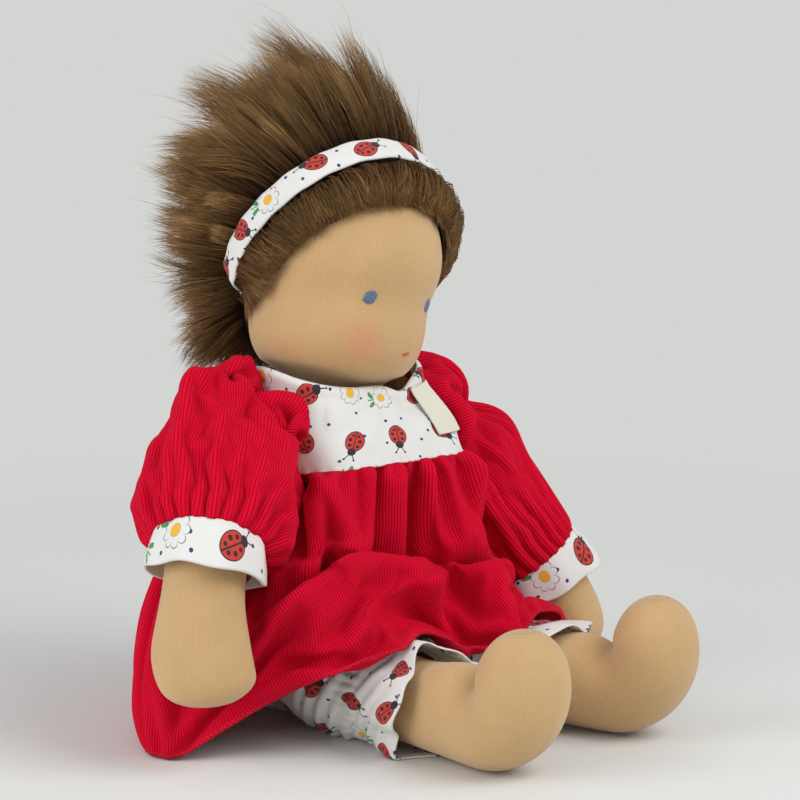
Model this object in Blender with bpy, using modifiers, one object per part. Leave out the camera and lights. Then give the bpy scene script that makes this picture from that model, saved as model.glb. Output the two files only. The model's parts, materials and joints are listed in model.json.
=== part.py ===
"""Sitting soft doll: wool-stuffed tricot body, pile wig, gathered dress, bloomers and headband.

Metres, +Z up. The doll faces -Y and its own left is +X. The origin is where the seat meets
the floor. The head turns on the neck, the arms swing at the shoulders, the legs at the hips.
"""
import math

import bmesh
import bpy
import numpy as np
from mathutils import Matrix

# Clearances, cloth and thread
GAP = 0.0003
SKIN = 0.0010
COTTON = 0.0010
CORDUROY = 0.0013
PILE_BACKING = 0.0008
PILE_BACKING_LIFT = 0.0013
DRAPE_ROOM = 0.0021
CUT_OVERRUN = 0.010

# Head, a wound wool ball under tricot, tilted towards the doll's left shoulder
HEAD_WIDTH = 0.091
HEAD_DEPTH = 0.093
HEAD_HEIGHT = 0.115
HEAD_CENTER_HEIGHT = 0.2085
HEAD_FORWARD = 0.0045
HEAD_ASIDE = 0.0015
HEAD_ROLL = math.radians(10.0)
HEAD_YAW = math.radians(3.0)
EYE_LINE_DROP = 0.0108
EYE_LINE_DEPTH = 0.0014
EYE_SPACING = 0.0385
EYE_SIZE = 0.0056
MOUTH_DROP = 0.0365
MOUTH_ASIDE = 0.0040
MOUTH_WIDTH = 0.0044
MOUTH_HEIGHT = 0.0018
THREAD_PROUD = 0.0007
NECK_RADIUS = 0.0205
NECK_LENGTH_INSIDE = 0.0160
NECK_TURN_ROOM = 0.0008
NECK_LENGTH_ABOVE = 0.0030

# Wig and headband, both laid out round an axis that points up and back from the ball's centre
WIG_AXIS_TILT = math.radians(49.0)
WIG_YAW = math.radians(-6.0)
PILE_LENGTH = 0.0495
FRINGE_THICKNESS = 0.0115
HEADBAND_WIDTH = 0.0120
HEADBAND_THICKNESS = 0.0014
HEADBAND_STANDOFF = 0.0085
HEADBAND_LATITUDE = math.radians(14.0)
BAND_ELASTIC_WIDTH = 0.0060

# Torso
TORSO_HALF_WIDTH = 0.0430
TORSO_HALF_DEPTH = 0.0365
TORSO_TOP = 0.1495
TORSO_FORWARD = 0.0240

# Arms, with mitten hands
SHOULDER_HEIGHT = 0.1380
SHOULDER_FORWARD = 0.0210
ARM_LENGTH = 0.1500
ARM_ROOT_RADIUS = 0.0155
ARM_RADIUS = 0.0180
HAND_HALF_WIDTH = 0.0212
HAND_HALF_THICKNESS = 0.0180

# Legs, with feet that point up
HIP_SPACING = 0.0490
HIP_HEIGHT = 0.0262
HIP_FORWARD = 0.0320
LEG_ROOT_RADIUS = 0.0222
ANKLE_RADIUS = 0.0192
ANKLE_DROP = 0.0064
LEG_REACH = 0.1200
HEEL_TURN_RADIUS = 0.0216
FOOT_RISE = 0.0245
FOOT_HALF_WIDTH = 0.0225
FOOT_HALF_THICKNESS = 0.0194
LEG_SPLAY_RIGHT = math.radians(1.5)
LEG_SPLAY_LEFT = math.radians(17.0)

# Dress
YOKE_HALF_WIDTH = 0.0475
YOKE_FRONT_HALF_DEPTH = 0.0480
YOKE_BACK_HALF_DEPTH = 0.0405
YOKE_BOTTOM = 0.1200
YOKE_FRONT_RISE = 0.0035
YOKE_TOP = 0.1670
NECKLINE_HALF_WIDTH = 0.0460
NECKLINE_HALF_DEPTH = 0.0330
NECKLINE_FRONT_DIP = 0.0135
NECKLINE_BACK_DIP = 0.0065
ARMHOLE_RADIUS = 0.0174
BUTTON_RADIUS = 0.0045
BUTTON_THICKNESS = 0.0016
SLEEVE_ROOT_RADIUS = 0.0240
SLEEVE_ROOT_RISE = 0.0015
SLEEVE_PUFF_RADIUS_RIGHT = 0.0335
SLEEVE_PUFF_RADIUS_LEFT = 0.0310
SLEEVE_RISE_RIGHT = 0.0085
SLEEVE_RISE_LEFT = 0.0040
CUFF_RADIUS = 0.0235
CUFF_LENGTH = 0.0150
SKIRT_LENGTH = 0.1240
SKIRT_FOLD_DEPTH = 0.0042
LABEL_WIDTH = 0.0215
LABEL_HEIGHT = 0.0215
LABEL_THICKNESS = 0.0006

# Bloomers
BLOOMER_EASE = 0.0018
BLOOMER_WAIST_HEIGHT = 0.0960
WAIST_ELASTIC_WIDTH = 0.0060
ELASTIC_THICKNESS = 0.0010
BLOOMER_LEG_START = 0.0315
BLOOMER_LEG_RADIUS = 0.0262
CINCH_REACH = 0.0500
LEG_ELASTIC_WIDTH = 0.0045
RUFFLE_DEPTH = 0.0370
RUFFLE_FLARE = 0.0262
RUFFLE_WAVE = 0.0018

UP = np.array([0.0, 0.0, 1.0])
RIGHT_SIDE = -1
LEFT_SIDE = 1

COLOURS = {
    "tricot": ((0.55, 0.35, 0.18), 0.90),
    "wool": ((0.86, 0.80, 0.68), 0.95),
    "pile": ((0.13, 0.065, 0.030), 0.80),
    "backing": ((0.16, 0.09, 0.05), 0.90),
    "print": ((0.86, 0.85, 0.84), 0.80),
    "corduroy": ((0.52, 0.010, 0.030), 0.75),
    "elastic": ((0.80, 0.79, 0.76), 0.80),
    "blue_thread": ((0.10, 0.17, 0.33), 0.55),
    "red_thread": ((0.62, 0.06, 0.04), 0.55),
    "tie_thread": ((0.75, 0.66, 0.52), 0.70),
    "tape": ((0.70, 0.64, 0.52), 0.85),
    "button": ((0.85, 0.83, 0.78), 0.30),
}


def clear_scene():
    for old in list(bpy.data.objects):
        bpy.data.objects.remove(old, do_unlink=True)


def new_collection(name):
    collection = bpy.data.collections.new(name)
    bpy.context.scene.collection.children.link(collection)
    return collection


clear_scene()
PARTS = new_collection("doll")
CUTTERS = new_collection("doll_cutters")


def give_material(obj, finish):
    """Each piece has its own material, in the colour and roughness of its finish."""
    colour, roughness = COLOURS[finish]
    material = bpy.data.materials.new(obj.name + "_" + finish)
    material.use_nodes = True
    shader = material.node_tree.nodes["Principled BSDF"]
    shader.inputs["Base Color"].default_value = (*colour, 1.0)
    shader.inputs["Roughness"].default_value = roughness
    shader.inputs["Metallic"].default_value = 0.0
    obj.data.materials.append(material)


def new_object(name, bm, finish=None, parent=None):
    """A mesh object from a bmesh: a part with a finish, or a cutter without one."""
    bmesh.ops.recalc_face_normals(bm, faces=bm.faces[:])
    mesh = bpy.data.meshes.new(name)
    bm.to_mesh(mesh)
    bm.free()
    mesh.shade_smooth()
    obj = bpy.data.objects.new(name, mesh)
    if finish is None:
        CUTTERS.objects.link(obj)
        obj.hide_render = True
        obj.display_type = "WIRE"
    else:
        PARTS.objects.link(obj)
        give_material(obj, finish)
    obj.parent = parent
    return obj


def new_pivot(name, location, rotation=(0.0, 0.0, 0.0), parent=None):
    """An empty on a joint's axis, or at the centre that a group of pieces is laid out from."""
    pivot = bpy.data.objects.new(name, None)
    pivot.location = location
    pivot.rotation_euler = rotation
    pivot.parent = parent
    PARTS.objects.link(pivot)
    return pivot


def loft(rings, close_start=False, close_end=False):
    """A skin over rings of equal point counts, each closed round, with domed or open ends."""
    bm = bmesh.new()
    rows = [[bm.verts.new(point) for point in ring] for ring in rings]
    count = len(rows[0])
    for lower, upper in zip(rows, rows[1:]):
        for i in range(count):
            j = (i + 1) % count
            bm.faces.new((lower[i], lower[j], upper[j], upper[i]))
    for wanted, row in ((close_start, rows[0]), (close_end, rows[-1])):
        if wanted:
            middle = bm.verts.new(sum((np.array(v.co) for v in row), np.zeros(3)) / count)
            for i in range(count):
                bm.faces.new((row[i], row[(i + 1) % count], middle))
    return bm


def patch(outer, inner):
    """A thick patch: two open grids of points a thickness apart, walled along all four edges."""
    bm = bmesh.new()
    grids = [[[bm.verts.new(p) for p in row] for row in grid] for grid in (outer, inner)]
    rows, columns = len(outer), len(outer[0])
    for grid in grids:
        for i in range(rows - 1):
            for j in range(columns - 1):
                bm.faces.new((grid[i][j], grid[i][j + 1], grid[i + 1][j + 1], grid[i + 1][j]))
    rim = [(0, j) for j in range(columns)] + [(i, columns - 1) for i in range(1, rows)]
    rim += [(rows - 1, j) for j in range(columns - 2, -1, -1)] + [(i, 0) for i in range(rows - 2, 0, -1)]
    for (i, j), (k, m) in zip(rim, rim[1:] + rim[:1]):
        bm.faces.new((grids[0][i][j], grids[0][k][m], grids[1][k][m], grids[1][i][j]))
    return bm


def thicken(obj, thickness, offset):
    wall = obj.modifiers.new("cloth", "SOLIDIFY")
    wall.thickness = thickness
    wall.offset = offset


def cut(obj, cutter):
    hole = obj.modifiers.new("cut by " + cutter.name, "BOOLEAN")
    hole.operation = "DIFFERENCE"
    hole.object = cutter


def curve_through(points, count):
    """Points at even steps on a smooth curve through the given ones (Catmull-Rom)."""
    points = np.asarray(points, float)
    padded = np.vstack([2 * points[0] - points[1], points, 2 * points[-1] - points[-2]])
    steps = np.linspace(0.0, len(points) - 1.0, count)
    k = np.minimum(steps.astype(int), len(points) - 2)
    s = (steps - k)[:, None]
    a, b, c, d = (padded[k + i] for i in range(4))
    return 0.5 * (2 * b + (c - a) * s + (2 * a - 5 * b + 4 * c - d) * s ** 2
                  + (3 * b - a - 3 * c + d) * s ** 3)


def closed_curve(points, count):
    """Points at even steps on a smooth closed curve through the given ones."""
    points = np.asarray(points, float)
    steps = np.arange(count) * len(points) / count
    k = steps.astype(int)
    s = (steps - k)[:, None]
    a, b, c, d = (points[(k + i) % len(points)] for i in (-1, 0, 1, 2))
    return 0.5 * (2 * b + (c - a) * s + (2 * a - 5 * b + 4 * c - d) * s ** 2
                  + (3 * b - a - 3 * c + d) * s ** 3)


def limb_rings(path, half_widths, half_depths, across, sides, first=None, last=None):
    """Elliptic rings square to a path: half_widths lie along the direction across.

    The path's directions at its two ends can be given, so that two tubes meet squarely.
    """
    path = np.asarray(path, float)
    along = np.gradient(path, axis=0)
    if first is not None:
        along[0] = first
    if last is not None:
        along[-1] = last
    along /= np.linalg.norm(along, axis=1)[:, None]
    side = np.asarray(across, float) - (along @ np.asarray(across, float))[:, None] * along
    side /= np.linalg.norm(side, axis=1)[:, None]
    front = np.cross(along, side)
    turns = np.linspace(0.0, 2.0 * math.pi, sides, endpoint=False)
    wide = np.asarray(half_widths, float)[:, None, None] * side[:, None, :]
    deep = np.asarray(half_depths, float)[:, None, None] * front[:, None, :]
    return path[:, None, :] + np.cos(turns)[None, :, None] * wide + np.sin(turns)[None, :, None] * deep


def smoothstep(value, low, high):
    share = np.clip((value - low) / (high - low), 0.0, 1.0)
    return share * share * (3.0 - 2.0 * share)


def turn_matrix(yaw, roll):
    """The head's turn about the upright axis after its tilt towards one shoulder."""
    cy, sy, cr, sr = math.cos(yaw), math.sin(yaw), math.cos(roll), math.sin(roll)
    upright = np.array([[cy, -sy, 0.0], [sy, cy, 0.0], [0.0, 0.0, 1.0]])
    aside = np.array([[cr, 0.0, sr], [0.0, 1.0, 0.0], [-sr, 0.0, cr]])
    return upright @ aside


# Head

NECK = np.array([0.0, -TORSO_FORWARD, TORSO_TOP])
HEAD_TURN = turn_matrix(HEAD_YAW, HEAD_ROLL)
HEAD_OFFSET = np.array([HEAD_ASIDE, -HEAD_FORWARD, HEAD_CENTER_HEIGHT - TORSO_TOP])
HEAD_HALF = np.array([HEAD_WIDTH, HEAD_DEPTH, HEAD_HEIGHT]) / 2
JAW_SHARES = (0.16, 0.045)


def head_surface(directions, grow=0.0):
    """Points of the head's skin along unit directions from the ball's centre, in its own frame.

    An upright egg: the brow is full, the cheeks and chin draw in, and a thread tied round the
    wool ball leaves a shallow eye line across the face.
    """
    directions = np.asarray(directions, float)
    reach = 1.0 / np.linalg.norm(directions / (HEAD_HALF + grow), axis=-1)
    points = directions * reach[..., None]
    height = points[..., 2]
    taper = 1.0 + JAW_SHARES[0] * smoothstep(-height, HEAD_HALF[2] / 4, HEAD_HALF[2]) - JAW_SHARES[1] * (
        smoothstep(-height, -HEAD_HALF[2] / 4, HEAD_HALF[2] / 4))
    facing = smoothstep(-points[..., 1], -HEAD_HALF[1] / 2, HEAD_HALF[1] / 2)
    groove = EYE_LINE_DEPTH * facing * np.exp(-((height + EYE_LINE_DROP) / (HEAD_HEIGHT / 12)) ** 2)
    flat = np.stack([points[..., 0] * taper, points[..., 1] * taper, height], axis=-1)
    outward = directions * np.array([1.0, 1.0, 0.0])
    return flat - groove[..., None] * outward


def head_rings(grow, neck_radius, neck_bottom, sides):
    """Rings from inside the neck opening, up the neck, out round the ball and over the crown."""
    turns = np.linspace(0.0, 2.0 * math.pi, sides, endpoint=False)
    circle = np.stack([np.cos(turns), np.sin(turns), np.zeros(sides)], axis=1)
    neck = [circle * neck_radius + UP * height
            for height in np.linspace(neck_bottom, NECK_LENGTH_ABOVE, 3)]
    ball = []
    for polar in np.radians([146, 135, 124, 112, 102, 92, 80, 66, 52, 38, 24, 11]):
        directions = circle * math.sin(polar) + UP * math.cos(polar)
        ball.append(head_surface(directions, grow) @ HEAD_TURN.T + HEAD_OFFSET)
    return neck + ball


def make_head(neck_pivot, head_center):
    cover = new_object("head_cover", loft(head_rings(0.0, NECK_RADIUS, -NECK_LENGTH_INSIDE, 24),
                                          close_end=True), "tricot", neck_pivot)
    thicken(cover, SKIN, -1.0)
    inset = SKIN + GAP * 2
    core_rings = head_rings(-inset, NECK_RADIUS - inset, -NECK_LENGTH_INSIDE + inset, 24)
    new_object("head_core", loft(core_rings, close_start=True, close_end=True), "wool", neck_pivot)
    for side, name in ((LEFT_SIDE, "eye_left"), (RIGHT_SIDE, "eye_right")):
        make_stitches(name, side * EYE_SPACING / 2, -EYE_LINE_DROP, EYE_SIZE, EYE_SIZE,
                      "blue_thread", head_center)
    make_stitches("mouth_stitches", MOUTH_ASIDE, -MOUTH_DROP, MOUTH_WIDTH, MOUTH_HEIGHT,
                  "red_thread", head_center)


def face_point(across, height, proud):
    """The point of the face at a place across and up, lying proud of the skin."""
    aim = np.array([across, -HEAD_HALF[1], height])
    for _ in range(12):
        direction = aim / np.linalg.norm(aim)
        point = head_surface(direction)
        aim = point + np.array([across - point[0], 0.0, height - point[2]])
    return point + direction * proud


def make_stitches(name, across, height, width, tall, finish, parent):
    """A small satin-stitched patch that lies on the face."""
    columns = np.linspace(-width / 2, width / 2, 4)
    rows = np.linspace(-tall / 2, tall / 2, 4)
    under = [[face_point(across + c, height + r, GAP) for c in columns] for r in rows]
    over = [[face_point(across + c, height + r, GAP + THREAD_PROUD) for c in columns] for r in rows]
    new_object(name, patch(over, under), finish, parent)


# Wig and headband, in the ball's frame

WIG_TURN = turn_matrix(WIG_YAW, 0.0)
WIG_AXIS = WIG_TURN @ np.array([0.0, math.sin(WIG_AXIS_TILT), math.cos(WIG_AXIS_TILT)])
WIG_FRONT = WIG_TURN @ np.array([0.0, -math.cos(WIG_AXIS_TILT), math.sin(WIG_AXIS_TILT)])
WIG_SIDE = WIG_TURN @ np.array([1.0, 0.0, 0.0])
PILE_ROOT = PILE_BACKING_LIFT + PILE_BACKING


def wig_direction(turn, latitude):
    """Unit direction at a turn from the top front towards the left, and a latitude to the axis."""
    turn, latitude = np.broadcast_arrays(turn, latitude)
    level = np.cos(turn)[..., None] * WIG_FRONT + np.sin(turn)[..., None] * WIG_SIDE
    return np.cos(latitude)[..., None] * level + np.sin(latitude)[..., None] * WIG_AXIS


def hairline(turn):
    """Latitude of the wig's edge: low over the brow, higher behind the ears and round the nape."""
    behind = smoothstep(np.abs(turn), math.radians(85), math.radians(120))
    nape = smoothstep(np.abs(turn), math.radians(125), math.radians(165))
    return np.radians(-11.0) + np.radians(18.0) * behind - np.radians(5.0) * nape


def band_edge(side):
    half_angle = (HEADBAND_WIDTH / 2 + GAP) / (HEAD_HALF[0] + HEADBAND_STANDOFF)
    return HEADBAND_LATITUDE + side * half_angle


def scalp(turn, latitude, proud):
    return head_surface(wig_direction(turn, latitude), 0.0) + wig_direction(turn, latitude) * proud


def make_wig(head_center):
    """Backing sewn to the scalp, then the pile: swept up behind the band, combed forward before it."""
    turns = np.linspace(0.0, 2.0 * math.pi, 24, endpoint=False)
    wrapped = (turns + math.pi) % (2.0 * math.pi) - math.pi
    rows = np.linspace(0.0, 1.0, 8)[:-1]
    rings = [scalp(turns, hairline(wrapped) + (math.pi / 2 - hairline(wrapped)) * row, PILE_BACKING_LIFT)
             for row in rows]
    cap = new_object("wig_cap", loft(rings, close_end=True), "backing", head_center)
    thicken(cap, PILE_BACKING, 1.0)
    make_crown(head_center)
    make_fringe(head_center)


def tufts(turn, latitude):
    """Pointed tufts: a share from 0 between them to 1 at their tips, staggered row by row."""
    around = np.abs(((turn * 4.5 / math.pi + 0.5 * np.floor(latitude * 5.0)) % 1.0) - 0.5) * 2.0
    return 1.0 - around ** 1.3


def make_crown(head_center):
    """The long pile behind the band: it stands up over the crown and sweeps back off the nape."""
    sides = 36
    turns = np.linspace(0.0, 2.0 * math.pi, sides, endpoint=False)
    wrapped = np.abs((turns + math.pi) % (2.0 * math.pi) - math.pi)
    below = smoothstep(wrapped, math.radians(121.0), math.radians(129.0))
    start = band_edge(1) + (hairline(wrapped) - band_edge(1)) * below + np.radians(1.0)
    over_elastic = (wrapped > math.radians(119.0)) * (HEADBAND_THICKNESS + GAP * 7)
    over_rings, under_rings = [], []
    for row in np.linspace(0.0, 1.0, 9)[:-1]:
        latitude = start + (math.pi / 2 - start) * row
        direction = wig_direction(turns, latitude)
        rise = smoothstep(direction[:, 2], 0.0, 0.6)
        drop = smoothstep(-direction[:, 2], -0.1, 0.5)
        far_side = smoothstep(direction[:, 0], -0.25, 0.55)
        near_band = smoothstep(row, -0.10, 0.35)
        length = PILE_LENGTH * (0.80 + 0.26 * rise - 0.12 * drop) * (0.84 + 0.24 * tufts(turns, latitude))
        length = length * (1.0 - 0.42 * far_side) * (0.55 + 0.45 * np.maximum(near_band, drop))
        lean = direction + np.array([-0.11, 0.30, 0.0]) + UP * (0.12 * rise - 0.42 * drop)[:, None]
        lean /= np.linalg.norm(lean, axis=-1)[:, None]
        root = scalp(turns, latitude, PILE_ROOT + GAP * 2)
        root = root + direction * (over_elastic * (1.0 - smoothstep(row, 0.30, 0.50)))[:, None]
        over_rings.append(root + lean * length[:, None])
        under_rings.append(root)
    tip = loft(over_rings, close_end=True)
    shell = loft(under_rings, close_end=True)
    new_object("hair_crown", join_shells(tip, shell, sides), "pile", head_center)


def join_shells(outer, inner, count):
    """One closed solid from an outer and an inner dome whose first rings face each other."""
    bm = outer
    lining = [bm.verts.new(vert.co) for vert in inner.verts]
    inner.verts.index_update()
    for face in inner.faces:
        bm.faces.new([lining[vert.index] for vert in reversed(face.verts)])
    bm.verts.ensure_lookup_table()
    for i in range(count):
        j = (i + 1) % count
        bm.faces.new((bm.verts[i], bm.verts[j], lining[j], lining[i]))
    inner.free()
    return bm


def make_fringe(head_center):
    """The rolled pile before the band, combed forward to the brow and down to each ear."""
    turns = np.linspace(math.radians(-108.0), math.radians(108.0), 26)
    low, high = hairline(turns), np.full(26, band_edge(-1) - np.radians(0.6))
    outer, inner = [], []
    for row in np.linspace(0.0, 1.0, 8):
        latitude = low + (high - low) * row
        roll = math.sin(math.pi * (0.06 + 0.62 * row)) ** 0.55
        ends = smoothstep(math.radians(112.0) - np.abs(turns), 0.0, math.radians(30.0))
        thick = FRINGE_THICKNESS * roll * (0.35 + 0.65 * ends)
        root = scalp(turns, latitude, PILE_ROOT + GAP * 2)
        outer.append(root + wig_direction(turns, latitude) * thick[:, None])
        inner.append(root)
    new_object("hair_fringe", patch(outer, inner), "pile", head_center)


def band_strip(turn, width, standoff, proud):
    """A row of points across the band at a turn, standing off the scalp, proud of its inner face."""
    direction = wig_direction(turn, HEADBAND_LATITUDE)
    middle = scalp(turn, HEADBAND_LATITUDE, standoff + proud)
    across = WIG_AXIS - direction * (WIG_AXIS @ direction)
    across /= np.linalg.norm(across)
    return [middle + across * offset for offset in (-width / 2, width / 2)]


def make_headband(head_center):
    """A flat cotton strip over the hair, its ends gathered on an elastic that closes the ring."""
    reach = math.radians(121.0)
    turns = np.linspace(-reach, reach, 33)
    sink = smoothstep(np.abs(turns), math.radians(95.0), reach)
    standoff = HEADBAND_STANDOFF + (PILE_ROOT + GAP * 3 - HEADBAND_STANDOFF) * sink
    width = HEADBAND_WIDTH + (BAND_ELASTIC_WIDTH - HEADBAND_WIDTH) * sink ** 2
    outer = [band_strip(t, w, s, HEADBAND_THICKNESS) for t, w, s in zip(turns, width, standoff)]
    inner = [band_strip(t, w, s, 0.0) for t, w, s in zip(turns, width, standoff)]
    new_object("headband", patch(outer, inner), "print", head_center)
    gap_turn = GAP * 2 / HEAD_HALF[0]
    turns = np.linspace(reach + gap_turn, 2.0 * math.pi - reach - gap_turn, 16)
    seat = PILE_ROOT + GAP * 3
    outer = [band_strip(t, BAND_ELASTIC_WIDTH, seat, HEADBAND_THICKNESS) for t in turns]
    inner = [band_strip(t, BAND_ELASTIC_WIDTH, seat, 0.0) for t in turns]
    new_object("headband_elastic", patch(outer, inner), "elastic", head_center)


def make_neck_tie(neck_pivot):
    """The thread wound round the cover's neck, just above the torso."""
    turns = np.linspace(0.0, 2.0 * math.pi, 20, endpoint=False)
    inner_radius = (NECK_RADIUS + GAP) / math.cos(math.pi / 20)
    outer_radius = inner_radius + THREAD_PROUD * 2
    bottom = GAP
    profile = [(inner_radius, bottom), (outer_radius, bottom), (outer_radius, bottom + THREAD_PROUD * 3),
               (inner_radius, bottom + THREAD_PROUD * 3)]
    rings = [np.stack([np.cos(turns) * r, np.sin(turns) * r, np.full(20, h)], axis=1)
             for r, h in profile]
    bm = loft(rings + rings[:1])
    bmesh.ops.remove_doubles(bm, verts=bm.verts[:], dist=GAP / 10)
    new_object("neck_tie", bm, "tie_thread", neck_pivot)


# Torso

TORSO_SECTION_SHARES = np.array([
    # height of TORSO_TOP, half width, half depth, forward of TORSO_FORWARD
    (0.00, 0.56, 0.62, 0.12),
    (0.06, 0.86, 0.80, 0.24),
    (0.18, 0.98, 0.94, 0.44),
    (0.34, 1.00, 1.00, 0.66),
    (0.52, 0.99, 0.98, 0.84),
    (0.70, 0.98, 0.95, 0.97),
    (0.84, 0.98, 0.91, 1.00),
    (0.92, 0.97, 0.86, 1.00),
    (0.97, 0.86, 0.78, 1.00),
    (1.00, 0.62, 0.68, 1.00),
])
SEAT = COTTON + GAP * 1.5


def torso_ring(share, grow, sides, height):
    """The torso's outline at a share of its height, grown outwards, laid at a height."""
    wide, deep, forward = (np.interp(share, TORSO_SECTION_SHARES[:, 0], TORSO_SECTION_SHARES[:, i])
                           for i in (1, 2, 3))
    turns = np.linspace(0.0, 2.0 * math.pi, sides, endpoint=False)
    return np.stack([np.cos(turns) * (TORSO_HALF_WIDTH * wide + grow),
                     np.sin(turns) * (TORSO_HALF_DEPTH * deep + grow) - TORSO_FORWARD * forward,
                     np.full(sides, height)], axis=1)


def torso_rings(grow, sides, bottom, top):
    return [torso_ring(share, grow, sides, bottom + share * (top - bottom))
            for share in TORSO_SECTION_SHARES[:, 0]]


def leg_well(name, radius):
    """A cutter: the round hip well across the body, open forward and down where a leg swings."""
    turns = np.linspace(0.0, math.pi / 2, 13)
    profile = [(-HIP_FORWARD + radius * math.cos(t), HIP_HEIGHT + radius * math.sin(t)) for t in turns]
    far = TORSO_HALF_DEPTH * 3
    profile += [(-HIP_FORWARD - far, HIP_HEIGHT + radius), (-HIP_FORWARD - far, -CUT_OVERRUN),
                (-HIP_FORWARD + radius, -CUT_OVERRUN)]
    bm = bmesh.new()
    half = TORSO_HALF_WIDTH + CUT_OVERRUN * 2
    face = bm.faces.new([bm.verts.new((-half, y, z)) for y, z in profile])
    extruded = bmesh.ops.extrude_face_region(bm, geom=[face])
    for element in extruded["geom"]:
        if isinstance(element, bmesh.types.BMVert):
            element.co.x = half
    return new_object(name, bm)


def round_cutter(name, radius, low, high, center):
    """An upright cylinder cutter between two heights."""
    bm = bmesh.new()
    bmesh.ops.create_cone(bm, cap_ends=True, segments=32, radius1=radius, radius2=radius,
                          depth=high - low)
    bmesh.ops.translate(bm, verts=bm.verts[:], vec=(center[0], center[1], (low + high) / 2))
    return new_object(name, bm)


def make_torso():
    bottom = SEAT
    well = leg_well("cutter_leg_well", LEG_ROOT_RADIUS + GAP)
    neck_hole = round_cutter("cutter_neck_hole", NECK_RADIUS + NECK_TURN_ROOM,
                             TORSO_TOP - NECK_LENGTH_INSIDE - NECK_TURN_ROOM,
                             TORSO_TOP + CUT_OVERRUN, NECK)
    cover = new_object("torso_cover", loft(torso_rings(0.0, 24, bottom, TORSO_TOP), True, True), "tricot")
    inset = SKIN + GAP
    hollow = new_object("cutter_torso_hollow", loft(
        torso_rings(-SKIN, 24, bottom + SKIN, TORSO_TOP - SKIN), True, True))
    cut(cover, hollow)
    cut(cover, well)
    cut(cover, neck_hole)
    stuffing = new_object("torso_stuffing", loft(
        torso_rings(-inset, 24, bottom + inset, TORSO_TOP - inset), True, True), "wool")
    cut(stuffing, well)
    cut(stuffing, neck_hole)
    return well


# Arms: each path starts square to the side of the chest, in shares of ARM_LENGTH

ARM_PATH_SHARES = {
    RIGHT_SIDE: ((0.000, 0.000, 0.000), (0.047, 0.000, 0.000), (0.157, -0.045, -0.045),
                 (0.277, -0.130, -0.140), (0.392, -0.215, -0.275), (0.465, -0.270, -0.430),
                 (0.499, -0.300, -0.565), (0.512, -0.313, -0.670), (0.517, -0.318, -0.725)),
    LEFT_SIDE: ((0.000, 0.000, 0.000), (0.064, 0.000, 0.000), (0.135, -0.030, -0.060),
                (0.225, -0.100, -0.210), (0.325, -0.165, -0.380), (0.430, -0.235, -0.550),
                (0.485, -0.275, -0.670), (0.510, -0.297, -0.760), (0.515, -0.302, -0.795)),
}
ARM_SIDES = 12


def arm_points(side, count, start=0.0, end=1.0):
    """The arm's middle line from the side of the chest, between two shares of its length."""
    points = curve_through(ARM_PATH_SHARES[side], 81) * ARM_LENGTH
    index = np.linspace(start, end, count) * 80
    points = np.stack([np.interp(index, np.arange(81), points[:, i]) for i in range(3)], axis=1)
    return (points + np.array([TORSO_HALF_WIDTH + GAP, 0.0, 0.0])) * np.array([side, 1.0, 1.0])


def arm_places(side, shares):
    """Points of the arm's middle line at shares of its length, from the shoulder's pivot."""
    line = arm_points(side, 101)
    return np.stack([np.interp(shares, np.linspace(0.0, 1.0, 101), line[:, i]) for i in range(3)], axis=1)


def arm_radii(share):
    """Half widths and half thicknesses: a slim root, an even arm, a broad mitten, a round end."""
    arm = ARM_ROOT_RADIUS + (ARM_RADIUS - ARM_ROOT_RADIUS) * smoothstep(share, 0.10, 0.45)
    hand = smoothstep(share, 0.58, 0.78)
    end = np.sqrt(np.clip(1.0 - (np.clip(share - 0.80, 0.0, 1.0) / 0.204) ** 2, 0.0, 1.0))
    wide = (arm + (HAND_HALF_WIDTH - arm) * hand) * end
    thick = (arm + (HAND_HALF_THICKNESS - arm) * hand) * end
    return wide, thick


ARM_SHARES = np.array([0.0, 0.075, 0.16, 0.27, 0.39, 0.52, 0.64, 0.75, 0.84, 0.91, 0.96, 0.99])


def arm_rings(side, inset):
    path = arm_places(side, ARM_SHARES * (1.0 - 1.8 * inset / ARM_LENGTH))
    wide, thick = arm_radii(ARM_SHARES)
    rings = limb_rings(path, np.maximum(wide - inset, GAP), np.maximum(thick - inset, GAP),
                       (0.0, -0.6, 0.8), ARM_SIDES, (side, 0.0, 0.0))
    if inset:
        rings = rings[:-2]
        rings[0, :, 0] += side * GAP
    return rings


def make_arm(side, name, pivot):
    """A tricot arm, open where it is sewn to the chest, over its wool stuffing."""
    cover = new_object("arm_cover_" + name, loft(arm_rings(side, 0.0), close_end=True), "tricot", pivot)
    thicken(cover, SKIN, -1.0)
    stuffing = loft(arm_rings(side, SKIN + GAP * 3), close_start=True, close_end=True)
    new_object("arm_stuffing_" + name, stuffing, "wool", pivot)


# Legs: the middle line starts behind the hip's pivot, runs forward and turns up round the heel

LEG_SIDES = 12
LEG_SHARES = np.array([0.011, 0.033, 0.068, 0.111, 0.210, 0.335, 0.460, 0.574, 0.669, 0.721, 0.771,
                       0.821, 0.871, 0.908, 0.946, 0.971, 0.991])
HEEL_RUN = HEEL_TURN_RADIUS * math.pi / 2
LEG_RUN = LEG_ROOT_RADIUS + LEG_REACH + HEEL_RUN + FOOT_RISE
HIP_SHARE = LEG_ROOT_RADIUS / LEG_RUN


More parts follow.
